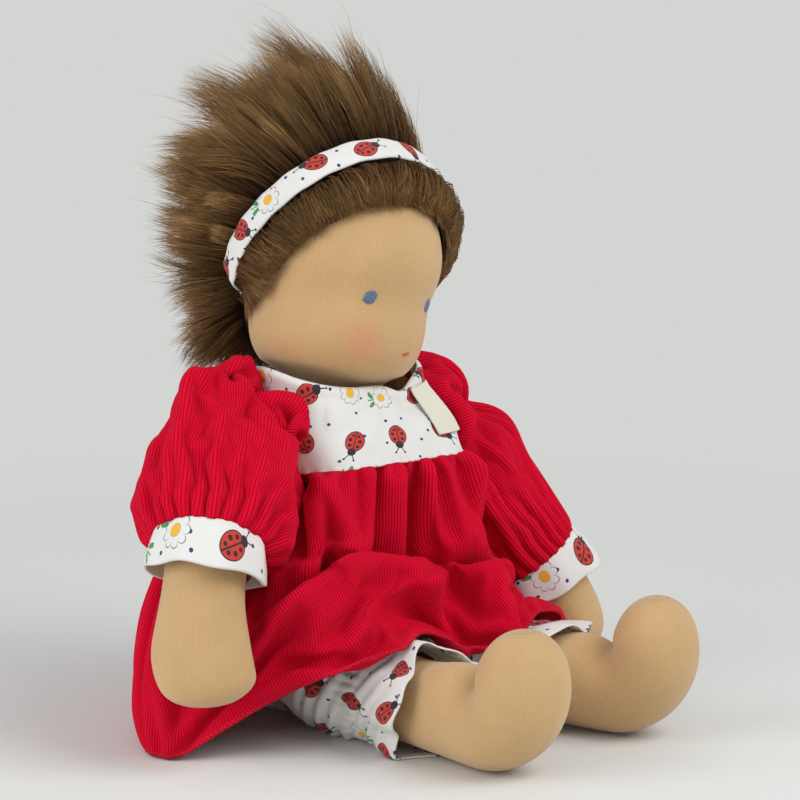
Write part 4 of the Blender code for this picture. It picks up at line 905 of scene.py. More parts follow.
def make_crown(material):
    """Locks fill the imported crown's shape. Strands leave the backing apart and gather at the locks' tips."""
    turn, latitude = scatter(LOCKS, crown_edge)
    direction = wig_direction(turn, latitude)
    lock_root = scalp(turn, latitude, PILE_ROOT)
    lock_lean = unit(crown_lean(direction) + draws.normal(scale=0.10, size=(LOCKS, 3)))
    lock_length = crown_reach(lock_root, lock_lean) * draws.uniform(0.92, 1.17, LOCKS)
    lock_curl = draws.normal(scale=0.12, size=(LOCKS, 3)) * (1.0 - 0.7 * at_back(direction))
    lock_tone = draws.random(LOCKS)
    lock_run = (lock_lean + lock_curl * 0.5) * lock_length[:, None]
    shares = np.linspace(0.0, 1.0, STRAND_POINTS)[None, :, None]
    for part in range(CROWN_PARTS):
        count = CROWN_STRANDS
        turn, latitude = scatter(count, crown_edge)
        direction = wig_direction(turn, latitude)
        root = scalp(turn, latitude, BACKING_LIFT)
        nearest = np.argmin(((root[:, None] - lock_root[None]) ** 2).sum(axis=2), axis=1)
        lean = unit(crown_lean(direction) + draws.normal(scale=0.09, size=(count, 3)))
        share = 1.05 - 0.42 * draws.random(count) ** 2.0
        length = (lock_length[nearest] * share)[:, None]
        stray = (draws.random(count) < 0.02)[:, None]
        own = root + (lean + stray * draws.normal(scale=0.16, size=(count, 3))) * length
        clump = draws.uniform(0.20, 0.82, count)[:, None] * (1.0 - stray * 0.8)
        shared = lock_root[nearest] + lock_run[nearest] * share[:, None]
        tip = own * (1.0 - clump) + (shared + draws.normal(scale=0.0018, size=(count, 3))) * clump
        bend = root + direction * length * 0.26 + (tip - root) * 0.30 - lock_curl[nearest] * length
        lines = to_doll(root[:, None] * (1 - shares) ** 2 + 2 * bend[:, None] * shares * (1 - shares)
                        + tip[:, None] * shares ** 2)
        lines[..., 2] -= 0.5 * np.maximum(lines[..., 2] - CROWN_CEILING, 0.0)
        radii = draws.uniform(0.00007, 0.00017, count)
        tones = lock_tone[nearest] * 0.45 + draws.random(count) * 0.55
        obj = strand_piece("pile_crown_%d" % (part + 1), lines, radii, tones, material)
        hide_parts("hair_crown")


def make_fringe(material):
    """Pile before the band: each strand rises from the backing, rolls forward and tucks in at the brow.

    Towards the ears the pile hangs past the wig's edge in loose wisps.
    """
    count = FRINGE_STRANDS
    for part in range(FRINGE_PARTS):
        turn = draws.uniform(math.radians(-127.0), math.radians(127.0), count)
        edge = hairline(turn)
        under = BAND_LATITUDE - BAND_HALF_ANGLE
        top = under + math.radians(9.0)
        start = edge + (top - edge) * draws.random(count) ** 0.8
        ends = smoothstep(math.radians(130.0) - np.abs(turn), 0.0, math.radians(16.0))
        loose = smoothstep(np.abs(turn), math.radians(88.0), math.radians(112.0))
        layer = draws.random(count)
        groove = 1.0 + 0.10 * np.sin(turn * 33.0 + 2.0 * np.sin(turn * 11.0)) + 0.05 * np.sin(turn * 71.0)
        lift = FRINGE_THICKNESS * (0.25 + 0.82 * layer ** 0.6) * (0.45 + 0.55 * ends) * groove
        ragged = 1.2 * np.sin(turn * 31.0 + 2.0 * np.sin(turn * 13.0)) + draws.normal(scale=1.9, size=count)
        hang = ragged - 1.0 - loose * (10.0 + 7.0 * draws.random(count))
        finish_at = edge + np.radians(hang) + (1 - layer) * 0.04
        steps = np.linspace(0.0, 1.0, STRAND_POINTS)[None, :]
        comb = draws.normal(scale=0.055, size=count) + 0.05
        comb = comb + 0.07 * np.sin(turn * 9.0) + 0.05 * np.sin(turn * 23.0)
        latitude = start[:, None] + (np.minimum(finish_at, start) - start)[:, None] * steps ** 0.9
        depth = (under - latitude) / (under - edge)[:, None]
        envelope = np.sin(np.clip(depth * 0.74 + 0.28, 0.0, 0.985) * math.pi) ** 0.5
        envelope = envelope * (1.0 - 0.35 * loose[:, None]) + 0.22 * loose[:, None]
        height = BACKING_LIFT + (lift[:, None] * envelope) * np.minimum(steps * 3.2, 1.0)
        roof = BAND_STANDOFF - 0.0008 + 0.10 * np.maximum(under - latitude, 0.0)
        height = np.minimum(height, roof)
        sideways = turn[:, None] + comb[:, None] * steps ** 1.5
        lines = to_doll(scalp(sideways, latitude, height))
        radii = draws.uniform(0.00009, 0.00018, count)
        # Lighter streaks from lock to lock across the fringe are painted highlight; each strand adds a random
        # tone.
        tones = 0.28 + 0.16 * np.sin(turn * 41.0 + 2.0 * np.sin(turn * 17.0)) + draws.random(count) * 0.55
        obj = strand_piece("pile_fringe_%d" % (part + 1), lines, radii, np.clip(tones, 0.0, 1.0), material)
        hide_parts("hair_fringe")


make_backing()
long_pile = hair_finish()
make_crown(long_pile)
make_fringe(long_pile)


# Headband: a doubled strip of the printed cotton, pressed flat, worn over the hair from ear to ear.
# Its ends are gathered on a short elastic that closes the ring at the nape under the pile.

PRINT_GROUND = (0.79, 0.785, 0.75)
PRINT_RED = (0.60, 0.035, 0.022)
PRINT_INK = (0.020, 0.017, 0.022)
PRINT_NAVY = (0.035, 0.045, 0.14)
PRINT_YELLOW = (0.90, 0.47, 0.015)
PRINT_GREEN = (0.05, 0.32, 0.10)
MOTIF_CELL = 0.0245
DAISY_SHARE = 0.45
MOTIF_SCALE = 1.22
BAND_REACH = math.radians(124.0)
BAND_THICKNESS = 0.0011
BAND_LEAN = 0.0022
MM = 0.001


def beetle(x, y):
    """A small red beetle in millimetres round its middle, looking along +x: its ink and its red back."""
    away = y.maths("ABSOLUTE")
    shell = (x / 4.9) ** 2 + (y / 4.0) ** 2
    back = shell < 1.0
    ink = (shell > 0.84) * back
    ink = ink.maths("MAXIMUM", (away < 0.26) * back)
    for spot_x, spot_y, size in ((2.1, 1.7, 0.75), (-0.4, 2.1, 0.80), (-2.6, 1.2, 0.65)):
        ring = (x - spot_x) ** 2 + (away - spot_y) ** 2
        ink = ink.maths("MAXIMUM", ring < size ** 2)
    head = (x - 4.9) ** 2 + y ** 2 < 1.7 ** 2
    feeler = ((away - (x - 5.6) * 0.55 - 0.3).maths("ABSOLUTE") < 0.22) * (x > 5.8) * (x < 8.6)
    knob = (x - 8.6) ** 2 + (away - 1.95) ** 2 < 0.45 ** 2
    for mark in (head, feeler, knob):
        ink = ink.maths("MAXIMUM", mark)
    return back, ink


def daisy(x, y):
    """A nine-petalled flower in millimetres: its petals, their thin outline, its heart, and two leaves."""
    reach = (x ** 2 + y ** 2).maths("SQRT")
    petal = (y.maths("ARCTAN2", x) * 4.5).maths("COSINE").maths("ABSOLUTE") ** 0.42
    edge = petal * 2.1 + 3.3
    inside = reach < edge
    line = ((reach - edge).maths("ABSOLUTE") < 0.17) * (reach > 2.0)
    heart = reach < 1.85
    rim = ((reach - 1.95).maths("ABSOLUTE") < 0.13) * 0.7
    leaves = None
    for cx, cy, lean in ((-6.6, -2.4, 0.55), (-6.4, 2.0, -0.75)):
        lx = (x - cx) * math.cos(lean) + (y - cy) * math.sin(lean)
        ly = (y - cy) * math.cos(lean) - (x - cx) * math.sin(lean)
        leaf = (lx / 2.3) ** 2 + (ly / 0.95) ** 2 < 1.0
        leaves = leaf if leaves is None else leaves.maths("MAXIMUM", leaf)
    stem = (y.maths("ABSOLUTE") < 0.30) * (x < -5.0) * (x > -8.6)
    return inside, line.maths("MAXIMUM", rim), heart, leaves.maths("MAXIMUM", stem)


def print_finish(name, shift=(0.0, 0.0)):
    """White cotton printed with beetles and daisies turned every way, and scattered navy dots.

    The cloth is laid out in cells. A random draw picks a daisy or a beetle for each cell, and further
    draws turn and shift it.
    """
    finish = Finish(name, 0.85, Sheen_Weight=0.1)
    u, v = finish.flat()
    u, v = u + shift[0], v + shift[1]
    column, row = (u / MOTIF_CELL).maths("FLOOR"), (v / MOTIF_CELL).maths("FLOOR")
    cell = finish.node("ShaderNodeCombineXYZ", {}, column, row, 0.0)
    lot = finish.node("ShaderNodeTexWhiteNoise", {"noise_dimensions": "2D"}, cell, output=1)
    lots = finish.split(lot)
    x = (u / MOTIF_CELL - column - 0.5 - (lots[0] - 0.5) * 0.16) * (MOTIF_CELL / MM / MOTIF_SCALE)
    y = (v / MOTIF_CELL - row - 0.5 - (lots[1] - 0.5) * 0.16) * (MOTIF_CELL / MM / MOTIF_SCALE)
    turn = lots[2] * (2.0 * math.pi)
    cosine, sine = turn.maths("COSINE"), turn.maths("SINE")
    x, y = x * cosine + y * sine, y * cosine - x * sine
    pick = finish.node("ShaderNodeTexWhiteNoise", {"noise_dimensions": "2D"}, cell, output=0)
    odd = pick < DAISY_SHARE
    even = 1.0 - odd
    back, back_ink = beetle(x, y)
    petals, outline, heart, leaves = daisy(x + 0.8, y)
    spread = finish.node("ShaderNodeCombineXYZ", {}, u, v, 0.0)
    weave = (u * 9500.0).maths("SINE") * (v * 9500.0).maths("SINE")
    dots = finish.node("ShaderNodeTexVoronoi", {"voronoi_dimensions": "2D"},
                       {"Vector": spread, "Scale": 1 / 0.0135, "Randomness": 0.85})
    dot = (dots < 0.00082 / 0.0135) * (1.0 - petals * odd) * (1.0 - back * even)
    creases = finish.noise(finish.place(), 60.0, 3.0)
    # The crease noise greys the white ground in soft patches: painted shade of creases.
    colour = finish.mix(creases * 0.16, PRINT_GROUND, (0.62, 0.62, 0.63))
    colour = finish.mix(dot, colour, PRINT_NAVY)
    colour = finish.mix(leaves * odd, colour, PRINT_GREEN)
    colour = finish.mix(outline * odd * 0.8, colour, PRINT_INK)
    colour = finish.mix(heart * odd, colour, PRINT_YELLOW)
    colour = finish.mix(back * even, colour, PRINT_RED)
    colour = finish.mix(back_ink * even, colour, PRINT_INK)
    return finish.end(colour, weave * 0.15 + creases, 0.00035)


def band_seat(turns):
    """The band's height off the scalp and its width: full to the ears, then gathered to the elastic."""
    sink = smoothstep(np.abs(turns), math.radians(113.0), BAND_REACH)
    standoff = BAND_STANDOFF + (0.0030 - BAND_STANDOFF) * sink
    return standoff, BAND_WIDTH * (1.0 - 0.30 * sink ** 2), sink


def band_grid(turns, standoff, width, across, proud):
    """Rows across the band: a low crown over its width, laid square to the scalp."""
    direction = wig_direction(turns, BAND_LATITUDE)
    middle = scalp(turns, BAND_LATITUDE, standoff)
    up = WIG_AXIS - direction * (direction @ WIG_AXIS)[:, None]
    up /= np.linalg.norm(up, axis=1)[:, None]
    lean = (across[:, None] + 0.5) * BAND_LEAN
    return (middle[None] + across[:, None, None] * width[None, :, None] * up[None]
            + (proud + lean)[..., None] * direction[None])


def make_headband():
    turns = np.linspace(-BAND_REACH, BAND_REACH, 260)
    standoff, width, sink = band_seat(turns)
    across = np.linspace(-0.5, 0.5, 17)
    crown = 0.0009 * (1.0 - (2 * across) ** 4)[:, None]
    pleats = 0.0006 * sink[None, :] * np.cos(across * 26.0)[:, None]
    ripple = 0.0003 * np.sin(turns * 23.0 + 1.0)[None, :] * np.cos(across * 5.0)[:, None]
    grid = to_doll(band_grid(turns, standoff, width, across, crown + pleats + ripple))
    length = run_along(grid[len(across) // 2])
    obj = grid_piece("headband_cloth", grid, flat_places(length, (across + 0.5) * BAND_WIDTH))
    sheet_wall(obj, BAND_THICKNESS, 0.0)
    dress(obj, print_finish("print_headband", (0.0035, 0.0045)), "head", "print", "headband")
    return obj


def ribbed_elastic():
    finish = Finish("woven_elastic", 0.8)
    rib = finish.node("ShaderNodeTexWave", {}, {"Vector": finish.place(), "Scale": 420.0, "Distortion": 1.0})
    # The colour darkens in the furrows between the ribs: painted shade.
    return finish.end(finish.mix(rib, (0.62, 0.61, 0.58), (0.84, 0.83, 0.80)), rib, 0.0002)


make_headband()
elastic = ribbed_elastic()
for name in ("headband_elastic", "waist_elastic", "leg_elastic_left", "leg_elastic_right"):
    finish_node(name, elastic)


# Bloomers: the same print, cut as a seat with two puffed legs. An elastic in a casing draws each leg
# in, and the cloth beyond it stands out as a ruffle round the shin.

BLOOMER_EASE = 0.0016
WAIST_HEIGHT = 0.0960
CINCH_REACH = 0.0500
CINCH_RADIUS = 0.0232
BLOOMER_LEG_RADIUS = 0.0258
RUFFLE_START = 0.0545
RUFFLE_END = {1: 0.0980, -1: 0.0885}
RUFFLE_FLARE = 0.0270
SEAT_FLAT = (0.30, 0.14)
BLOOMER_LEG_FLAT = (0.185, 0.092)
BLOOMER_PUFF = ((0.000, 0.0228), (0.020, 0.0262), (0.036, 0.0262), (0.044, 0.0250), (0.050, 0.0232))
COTTON_THIN = 0.0007
FLOOR_GAP = 0.0003


def make_bloomer_seat(material):
    columns, rows = 120, 60
    turns = full_turn(columns)
    shares = 1.0 - np.cos(np.linspace(0.0, math.pi / 2, rows))
    heights = WAIST_HEIGHT * shares
    gather = smoothstep(shares, 0.80, 0.96) * (1.0 - 0.4 * smoothstep(shares, 0.97, 1.0))
    rings = []
    for height, draw in zip(heights, gather):
        wave = 0.0007 * draw * np.cos(turns * 38.0) + 0.0006 * np.cos(turns * 9.0 + height * 60.0)
        x, y = torso_ring(height, BLOOMER_EASE + wave, turns)
        rings.append(np.stack([x, y, np.full(columns, height + COTTON_THIN + FLOOR_GAP)], axis=1))
    walked = run_along(np.stack([heights, 0.03 * np.sqrt(shares)], axis=1))
    flat = flat_places(np.linspace(0.0, SEAT_FLAT[0], columns + 1), walked)
    obj = grid_piece("bloomers_seat", np.stack(rings), flat, True, (True, False))
    sheet_wall(obj, COTTON_THIN)
    dress(obj, material, "torso", "print", "bloomer_seat")
    return obj


def make_bloomer_leg(side, word, material):
    """The leg's tube round its middle line: puffed, drawn in at the elastic, then flared in waves."""
    columns, rows = 160, 110
    ruffle_end = RUFFLE_END[side]
    reach = np.linspace(0.004, ruffle_end, rows)
    shares = np.linspace(HIP_SHARE, 0.72, 400)
    line = leg_line(side, shares)
    run = np.linalg.norm((line - line[0])[:, :2], axis=1)
    path = np.stack([np.interp(reach, run, line[:, i]) for i in range(3)], axis=1)
    forward, across = leg_directions(side)
    turns = full_turn(columns, math.pi)
    puff = np.interp(reach, *np.transpose(BLOOMER_PUFF))
    flare = smoothstep(reach, RUFFLE_START, ruffle_end)
    base = np.where(reach < CINCH_REACH, puff, CINCH_RADIUS + (RUFFLE_FLARE - CINCH_RADIUS) * flare)
    cinch = bell(reach, (CINCH_REACH + RUFFLE_START) / 2, 0.007)
    phase = 0.9 if side < 0 else 2.3
    pleats = 0.0008 * cinch[:, None] * np.cos(turns * 30.0 + 0.5 * np.sin(turns * 3.0))
    creases = 0.0011 * (1.0 - cinch[:, None]) * np.cos(turns * 11.0 + 22.0 * reach[:, None] / 0.03 + phase) * (
        smoothstep(reach, 0.012, 0.030) * (1.0 - flare))[:, None]
    waves = flare[:, None] * (0.0026 * np.cos(turns * 5.0 + phase) + 0.0014 * np.cos(turns * 9.0 - phase))
    radii = base[:, None] + pleats + creases + waves
    grid = tube_grid(path, tube_frames(path, across, forward), radii, radii, turns)
    edge = 0.0045 * flare[:, None, None] * np.cos(turns * 3.0 + phase)[None, :, None]
    grid = grid + edge * forward
    grid[..., 2] = np.maximum(grid[..., 2], FLOOR_GAP + COTTON_THIN)
    flat = flat_places(np.linspace(0.0, BLOOMER_LEG_FLAT[0], columns + 1), run_along(path))
    obj = grid_piece("bloomers_leg_" + word, grid, flat, True)
    sheet_wall(obj, COTTON_THIN)
    obj.data.materials.append(material)
    start = line[0] + forward * 0.004
    tuple(start + forward * 0.026)
    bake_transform(obj)
    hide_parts("bloomer_leg_" + word, "leg_ruffle_" + word)
    return obj


make_bloomer_seat(print_finish("print_seat", (0.004, 0.002)))
for side, word in SIDES:
    make_bloomer_leg(side, word, print_finish("print_leg_" + word, (0.006 + 0.011 * side, 0.008)))


# Yoke: the printed top of the dress, a front and two backs seamed on the shoulders and lined. It stands
# off the neck in a soft scoop, and the backs button over each other behind.

YOKE_HALF_WIDTH = 0.0475
YOKE_FRONT_HALF_DEPTH = 0.0480
YOKE_BACK_HALF_DEPTH = 0.0405
YOKE_BOTTOM = 0.1200
YOKE_FRONT_RISE = 0.0035
YOKE_TOP = 0.1670
NECKLINE_HALF_WIDTH = 0.0460
NECKLINE_HALF_DEPTH = 0.0330
NECKLINE_FRONT_DIP = 0.0105
NECKLINE_BACK_DIP = 0.0065
LINED_COTTON = 0.0010
NECK_FOLD_TURN = -1.15
NECK_FOLD_DEPTH = 0.0040
NECK_CLOSER_TURN = -0.55
NECK_CLOSER = 0.0080
TAB_WIDTH = 0.0215
TAB_HEIGHT = 0.0215
TAB_LOW_SHARE = 0.28
TAB_TURN = -math.radians(52.0)
TAPE_THICKNESS = 0.0005
TAPE_LIGHT = (0.93, 0.91, 0.79)
TAPE_DARK = (0.78, 0.75, 0.60)


def yoke_outline(turns, share, proud):
    """The yoke's level section: nearly square in front, rounder behind and at the neckline.

    The reach at each turn is that of a rounded rectangle, the sum of two powers, which is an oval at
    a power of 2 and grows squarer with the power.
    """
    front = smoothstep(-np.sin(turns), -0.3, 0.4)
    depth = YOKE_BACK_HALF_DEPTH + (YOKE_FRONT_HALF_DEPTH - YOKE_BACK_HALF_DEPTH) * front
    half_width = YOKE_HALF_WIDTH + (NECKLINE_HALF_WIDTH - YOKE_HALF_WIDTH) * share + proud
    half_depth = depth + (NECKLINE_HALF_DEPTH - depth) * share + proud
    power = 2.6 + 2.6 * front * (1.0 - 0.7 * share)
    reach = np.abs(np.cos(turns) / half_width) ** power + np.abs(np.sin(turns) / half_depth) ** power
    reach = reach ** (-1.0 / power)
    return np.cos(turns) * reach, np.sin(turns) * reach - TORSO_FORWARD


def yoke_bottom(turns):
    """Height of the seam between yoke and skirt, which rises a little in front."""
    return YOKE_BOTTOM + YOKE_FRONT_RISE * smoothstep(-np.sin(turns), 0.3, 0.9)


def yoke_surface(turns, share, proud):
    """The yoke's inner face at turns and shares of its height, leaning in from chest to neckline."""
    x, y = yoke_outline(turns, share, proud)
    top = YOKE_TOP - NECKLINE_FRONT_DIP * smoothstep(-np.sin(turns), 0.0, 1.0)
    top = top - NECKLINE_BACK_DIP * smoothstep(np.sin(turns), 0.0, 1.0)
    bottom = yoke_bottom(turns)
    return np.stack([x, y, bottom + (top - bottom) * share + proud * share], axis=-1)


def neckline_closer(points, turns, share):
    """Points of the yoke, drawn in towards the neck at the left front and a little at the right."""
    nearer = bell(turns, NECK_CLOSER_TURN, 0.60) + 0.45 * bell(turns, -1.9, 0.80)
    closer = NECK_CLOSER * nearer * smoothstep(share, 0.30, 1.0)
    return points - np.stack([np.cos(turns) * closer, np.sin(turns) * closer, closer * 0.0], axis=-1)


def make_yoke_panel(name, start, end, columns, material):
    """One cotton panel: pressed flat at its seams, a little loose between them, its neck edge turned in."""
    rows = 44
    share, turns = np.meshgrid(np.linspace(0.0, 1.0, rows), np.linspace(start, end, columns), indexing="ij")
    loose = 0.0009 * np.sin(turns * 5.0 + share * 4.0) + 0.0005 * np.cos(turns * 13.0 - share * 7.0)
    loose = np.abs(loose * np.sin(share * math.pi))
    puckers = 0.0003 * np.cos(turns * 70.0 + 2.0 * np.sin(turns * 9.0)) * bell(share, 0.0, 0.06)
    roll = 0.0010 * smoothstep(share, 0.86, 0.95) * (1.0 - smoothstep(share, 0.95, 1.0))
    dip = NECK_FOLD_DEPTH * bell(turns, NECK_FOLD_TURN, 0.26) * smoothstep(share, 0.35, 1.0)
    grid = yoke_surface(turns, share, 0.0002 + loose + puckers + roll)
    grid = neckline_closer(grid, turns, share)
    grid -= dip[..., None] * np.array([0.0, 0.35, 1.0])
    across = run_along(grid[rows // 2]) + start * YOKE_HALF_WIDTH
    flat = flat_places(across, np.linspace(0.0, YOKE_TOP - YOKE_BOTTOM, rows))
    obj = grid_piece(name + "_cloth", grid, flat)
    sheet_wall(obj, LINED_COTTON)
    dress(obj, material, "torso", "print", name)
    return obj


def woven_tape():
    finish = Finish("woven_tape", 0.85)
    _, v = finish.flat()
    rows = (v * (2.0 * math.pi / 0.0004)).maths("SINE")
    yarn = finish.noise(finish.place(), 1200.0, 2.0)
    # Between the woven rows the colour darkens: painted shade, over a random yarn tone.
    return finish.end(finish.mix(rows * 0.25 + yarn * 0.8, TAPE_DARK, TAPE_LIGHT), rows + yarn, 0.00006)


def make_tab():
    """A blank tab of woven tape, its two short ends turned under and sewn flat on the chest."""
    half = TAB_WIDTH * 0.42 / YOKE_FRONT_HALF_DEPTH
    top = TAB_LOW_SHARE + TAB_HEIGHT / (YOKE_TOP - NECKLINE_FRONT_DIP - YOKE_BOTTOM)
    share, turns = np.meshgrid(np.linspace(TAB_LOW_SHARE, top, 30),
                               np.linspace(TAB_TURN - half, TAB_TURN + half, 24), indexing="ij")
    rim = np.minimum(share - TAB_LOW_SHARE, top - share) * 20.0
    grid = yoke_surface(turns, share, 0.0022 + 0.0003 * np.clip(1.0 - rim, 0.0, 1.0))
    grid = neckline_closer(grid, turns, share)
    flat = np.stack([turns * YOKE_HALF_WIDTH * 1.15, share * (YOKE_TOP - YOKE_BOTTOM)], axis=-1)
    obj = grid_piece("chest_tape", grid, flat)
    sheet_wall(obj, TAPE_THICKNESS)
    dress(obj, woven_tape(), "torso", "tape", "chest_tab")
    return obj


def horn_button():
    finish = Finish("polished_button", 0.25, Coat_Weight=0.4)
    cloud = finish.noise(finish.place(), 350.0, 3.0)
    return finish.end(finish.mix(cloud, (0.78, 0.75, 0.68), (0.92, 0.90, 0.86)), cloud, 0.0001)


yoke_print = print_finish("print_yoke", (0.1090, 0.0445))
make_yoke_panel("yoke_front", -math.pi, 0.0, 200, yoke_print)
make_yoke_panel("yoke_back_left", 0.0, math.pi / 2, 100, yoke_print)
make_yoke_panel("yoke_back_right", math.pi / 2, math.pi, 100, yoke_print)
make_tab()
button = horn_button()
for name in ("button_lower", "button_upper"):
    finish_node(name, button)


# Sleeves: fine-wale corduroy, cut wide with the wales lengthwise, gathered into the armhole and again
# into the cuff. The puff hangs in one deep fold from the shoulder.

# The crest colour is painted highlight and the valley colour painted shade in the furrows; the face colour is
# the cloth's own red.
CORD_CREST_HIGHLIGHT = (0.78, 0.004, 0.036)
CORD_FACE = (0.55, 0.001, 0.020)
CORD_VALLEY_SHADE = (0.34, 0.000, 0.009)
OVERLOCK_THREAD = (0.62, 0.012, 0.035)
OVERLOCK_PITCH = 0.0020
WALE = 0.00132
CORDUROY = 0.0012
SLEEVE_START_SHARE = 0.12
SLEEVE_END_SHARE = {-1: 0.50, 1: 0.585}
SLEEVE_RISE = {-1: 0.0085, 1: 0.0040}
SLEEVE_PUFF_RADIUS = {-1: 0.0335, 1: 0.0285}
SLEEVE_PEAK = {-1: (0.0050, 0.0080, 0.0085), 1: (0.0, 0.0, -0.0030)}
SLEEVE_SADDLE = {-1: 0.0, 1: 0.0085}
SLEEVE_ROOM = 0.0012
SLEEVE_ROOT_RADIUS = 0.0240
SLEEVE_ROOT_RISE = 0.0015
SLEEVE_FLAT_WIDTH = {-1: 0.2550, 1: 0.2300}
SLEEVE_EASE = {-1: 1.42, 1: 1.22}
CUFF_RADIUS = 0.0235
CUFF_LENGTH = 0.0150
CUFF_FLAT_LENGTH = 0.1520
CUFF_THICKNESS = 0.0014


def pull_together(points, first, second, length, stiffness, weights, push):
    """Moves pairs of points towards a distance: fully when too far, by the share push when too near."""
    away = points[second] - points[first]
    distance = np.linalg.norm(away, axis=-1)
    excess = distance - length
    excess = np.where(excess < 0.0, excess * push, excess) * stiffness
    total = np.maximum(weights[first] + weights[second], 1e-9)
    move = away * (excess / np.maximum(distance, 1e-9) / total)[..., None]
    points[first] += move * weights[first][..., None]
    points[second] -= move * weights[second][..., None]


def push_off_limb(points, path, radii, room):
    """Points moved straight out of a limb given by its middle line and radii, to lie room off it."""
    moved = points.copy()
    for start, end, near, far in zip(path, path[1:], radii, radii[1:]):
        run = end - start
        share = np.clip(((moved - start) @ run) / (run @ run), 0.0, 1.0)
        foot = start + share[:, None] * run
        away = moved - foot
        distance = np.linalg.norm(away, axis=1)
        wanted = near + (far - near) * share + room
        short = distance < wanted
        away /= np.maximum(distance, 0.0003)[:, None]
        moved[short] = foot[short] + away[short] * wanted[short, None]
    return moved


def fall(grid, cut, held, clear, steps, gravity, bend=0.35):
    """Lets a gathered tube of cloth hang until it comes to rest, and returns its grid of points.

    Each step carries the points on by their damped speed and a little gravity. Then every thread and
    diagonal is drawn to its length in the flat cut, and threads two and four points long are kept from
    folding sharper than the cloth bends. clear moves points out of what the cloth lies on. The held
    rows stay where they are sewn.
    """
    rows, columns = grid.shape[:2]
    wide, tall = cut[0] / columns, cut[1] / (rows - 1)
    places = np.arange(rows * columns).reshape(rows, columns)
    weights = np.ones((rows, columns))
    weights[list(held)] = 0.0
    weights = weights.ravel()
    pairs = []
    spans = ((1, 1.0, 1.0, 0.7), (2, 0.90, bend, 1.0), (4, 0.66, bend * 0.35, 1.0))
    for span, reach, stiffness, push in spans:
        for lot in range(2):
            across = np.arange(columns)[(np.arange(columns) // span) % 2 == lot]
            down = np.arange(rows - span)[(np.arange(rows - span) // span) % 2 == lot]
            for first, second, step in ((places[:, across], places[:, (across + span) % columns], wide),
                                        (places[down], places[down + span], tall)):
                pairs.append((first.ravel(), second.ravel(), step * span * reach, stiffness, push, span))
    for lot in range(2):
        down = np.arange(lot, rows - 1, 2)
        for turn in (1, -1):
            second = np.roll(places, -turn, axis=1)[down + 1]
            pairs.append((places[down].ravel(), second.ravel(), math.hypot(wide, tall), 0.25, 0.6, 1))
    points = grid.reshape(-1, 3).copy()
    before = points.copy()
    for step in range(steps):
        speed = (points - before) * 0.90
        before = points.copy()
        points = points + (speed - UP * gravity) * weights[:, None]
        for _ in range(5):
            for first, second, length, stiffness, push, span in pairs:
                if span > 1:
                    tight = np.linalg.norm(points[second] - points[first], axis=-1) < length
                    first, second = first[tight], second[tight]
                pull_together(points, first, second, length, stiffness, weights, push)
        free = weights > 0.0
        moved = clear(points[free])
        touched = np.linalg.norm(moved - points[free], axis=1) > 1e-6
        points[free] = moved
        held_back = before[free]
        held_back[touched] += (moved - held_back)[touched] * 0.95
        before[free] = held_back
    return points.reshape(rows, columns, 3)


def corduroy(name, hem=1.0):
    """Round cords with a short cut pile: painted highlight on the crests, painted shade in the furrows.

    From the height hem along the cut on, overlock stitches cross the cloth's edge.
    """
    finish = Finish(name, 0.92, Specular_IOR_Level=0.08, Sheen_Weight=0.10, Sheen_Tint=(1.0, 0.10, 0.16, 1.0))
    across, along = finish.flat()
    place = finish.place()
    cord = (across * (math.pi / WALE)).maths("SINE").maths("ABSOLUTE") ** 0.7
    pile = finish.noise(place, 1400.0, 3.0, 0.7)
    brushed = finish.noise(place, 55.0, 3.0)
    # The furrows between the cords are painted darker: painted shade.
    body = finish.mix(cord.step(0.0, 0.60), CORD_VALLEY_SHADE, CORD_FACE)
    # The crests are painted lighter, varied by the pile and a broad cloud: painted highlight.
    crest_highlight = cord.step(0.55, 1.0) * (pile * 0.7 + brushed * 0.9 - 0.15)
    edge = along > hem
    thread = (across * (math.pi / OVERLOCK_PITCH) + along * 900.0).maths("SINE").maths("ABSOLUTE")
    colour = finish.mix(crest_highlight, body, CORD_CREST_HIGHLIGHT)
    colour = finish.mix(edge * thread, colour, OVERLOCK_THREAD)
    height = cord * (1.0 - edge) + thread * edge * 1.6 + pile * 0.35
    return finish.end(colour, height, 0.00028)


def corduroy_piece(name, grid, cut, offset):
    """A tube of corduroy of a flat cut, rounded off between its points."""
    rows, columns = grid.shape[:2]
    flat = flat_places(np.linspace(0.0, cut[0], columns + 1), np.linspace(0.0, cut[1], rows))
    obj = grid_piece(name, grid, flat, True)
    finer = obj.modifiers.new("finer", "SUBSURF")
    finer.levels = finer.render_levels = 1
    sheet_wall(obj, CORDUROY, offset)
    return obj


def sleeve_line(side, shares):
    """The sleeve's middle line, raised above the arm at the puff."""
    rise = SLEEVE_RISE[side] * bell(shares, 0.36, 0.20)
    rise = SLEEVE_ROOT_RISE + (rise - SLEEVE_ROOT_RISE) * smoothstep(shares, 0.12, 0.24)
    return arm_line(side, shares * SLEEVE_END_SHARE[side]) + UP * rise[:, None]


def sleeve_radius(side, shares):
    """The puff's radius at shares of the sleeve, drawn in at the armhole and at the cuff."""
    ends = SLEEVE_ROOT_RADIUS + (CUFF_RADIUS - SLEEVE_ROOT_RADIUS) * shares
    full = np.interp(shares, [0.12, 0.19, 0.26, 0.44, 0.62, 0.80, 0.92, 1.00],
                     [0.0, 0.52, 0.80, 0.96, 1.0, 0.97, 0.76, 0.0])
    return ends + (SLEEVE_PUFF_RADIUS[side] - ends) * full


def sleeve_spread(heights, shares):
    """How far the sleeve spreads fore and aft at shares of its radius up: narrow on top near the armhole."""
    fade = 1.0 - smoothstep(shares, 0.30, 0.75)
    return 1.0 + (0.25 - 0.95 * smoothstep(heights, -0.6, 0.9)) * fade


def cuff_direction(side):
    """The way the arm runs where the sleeve meets its cuff."""
    end = SLEEVE_END_SHARE[side]
    before, after = arm_line(side, np.array([end - 0.03, end + 0.03]))
    return after - before


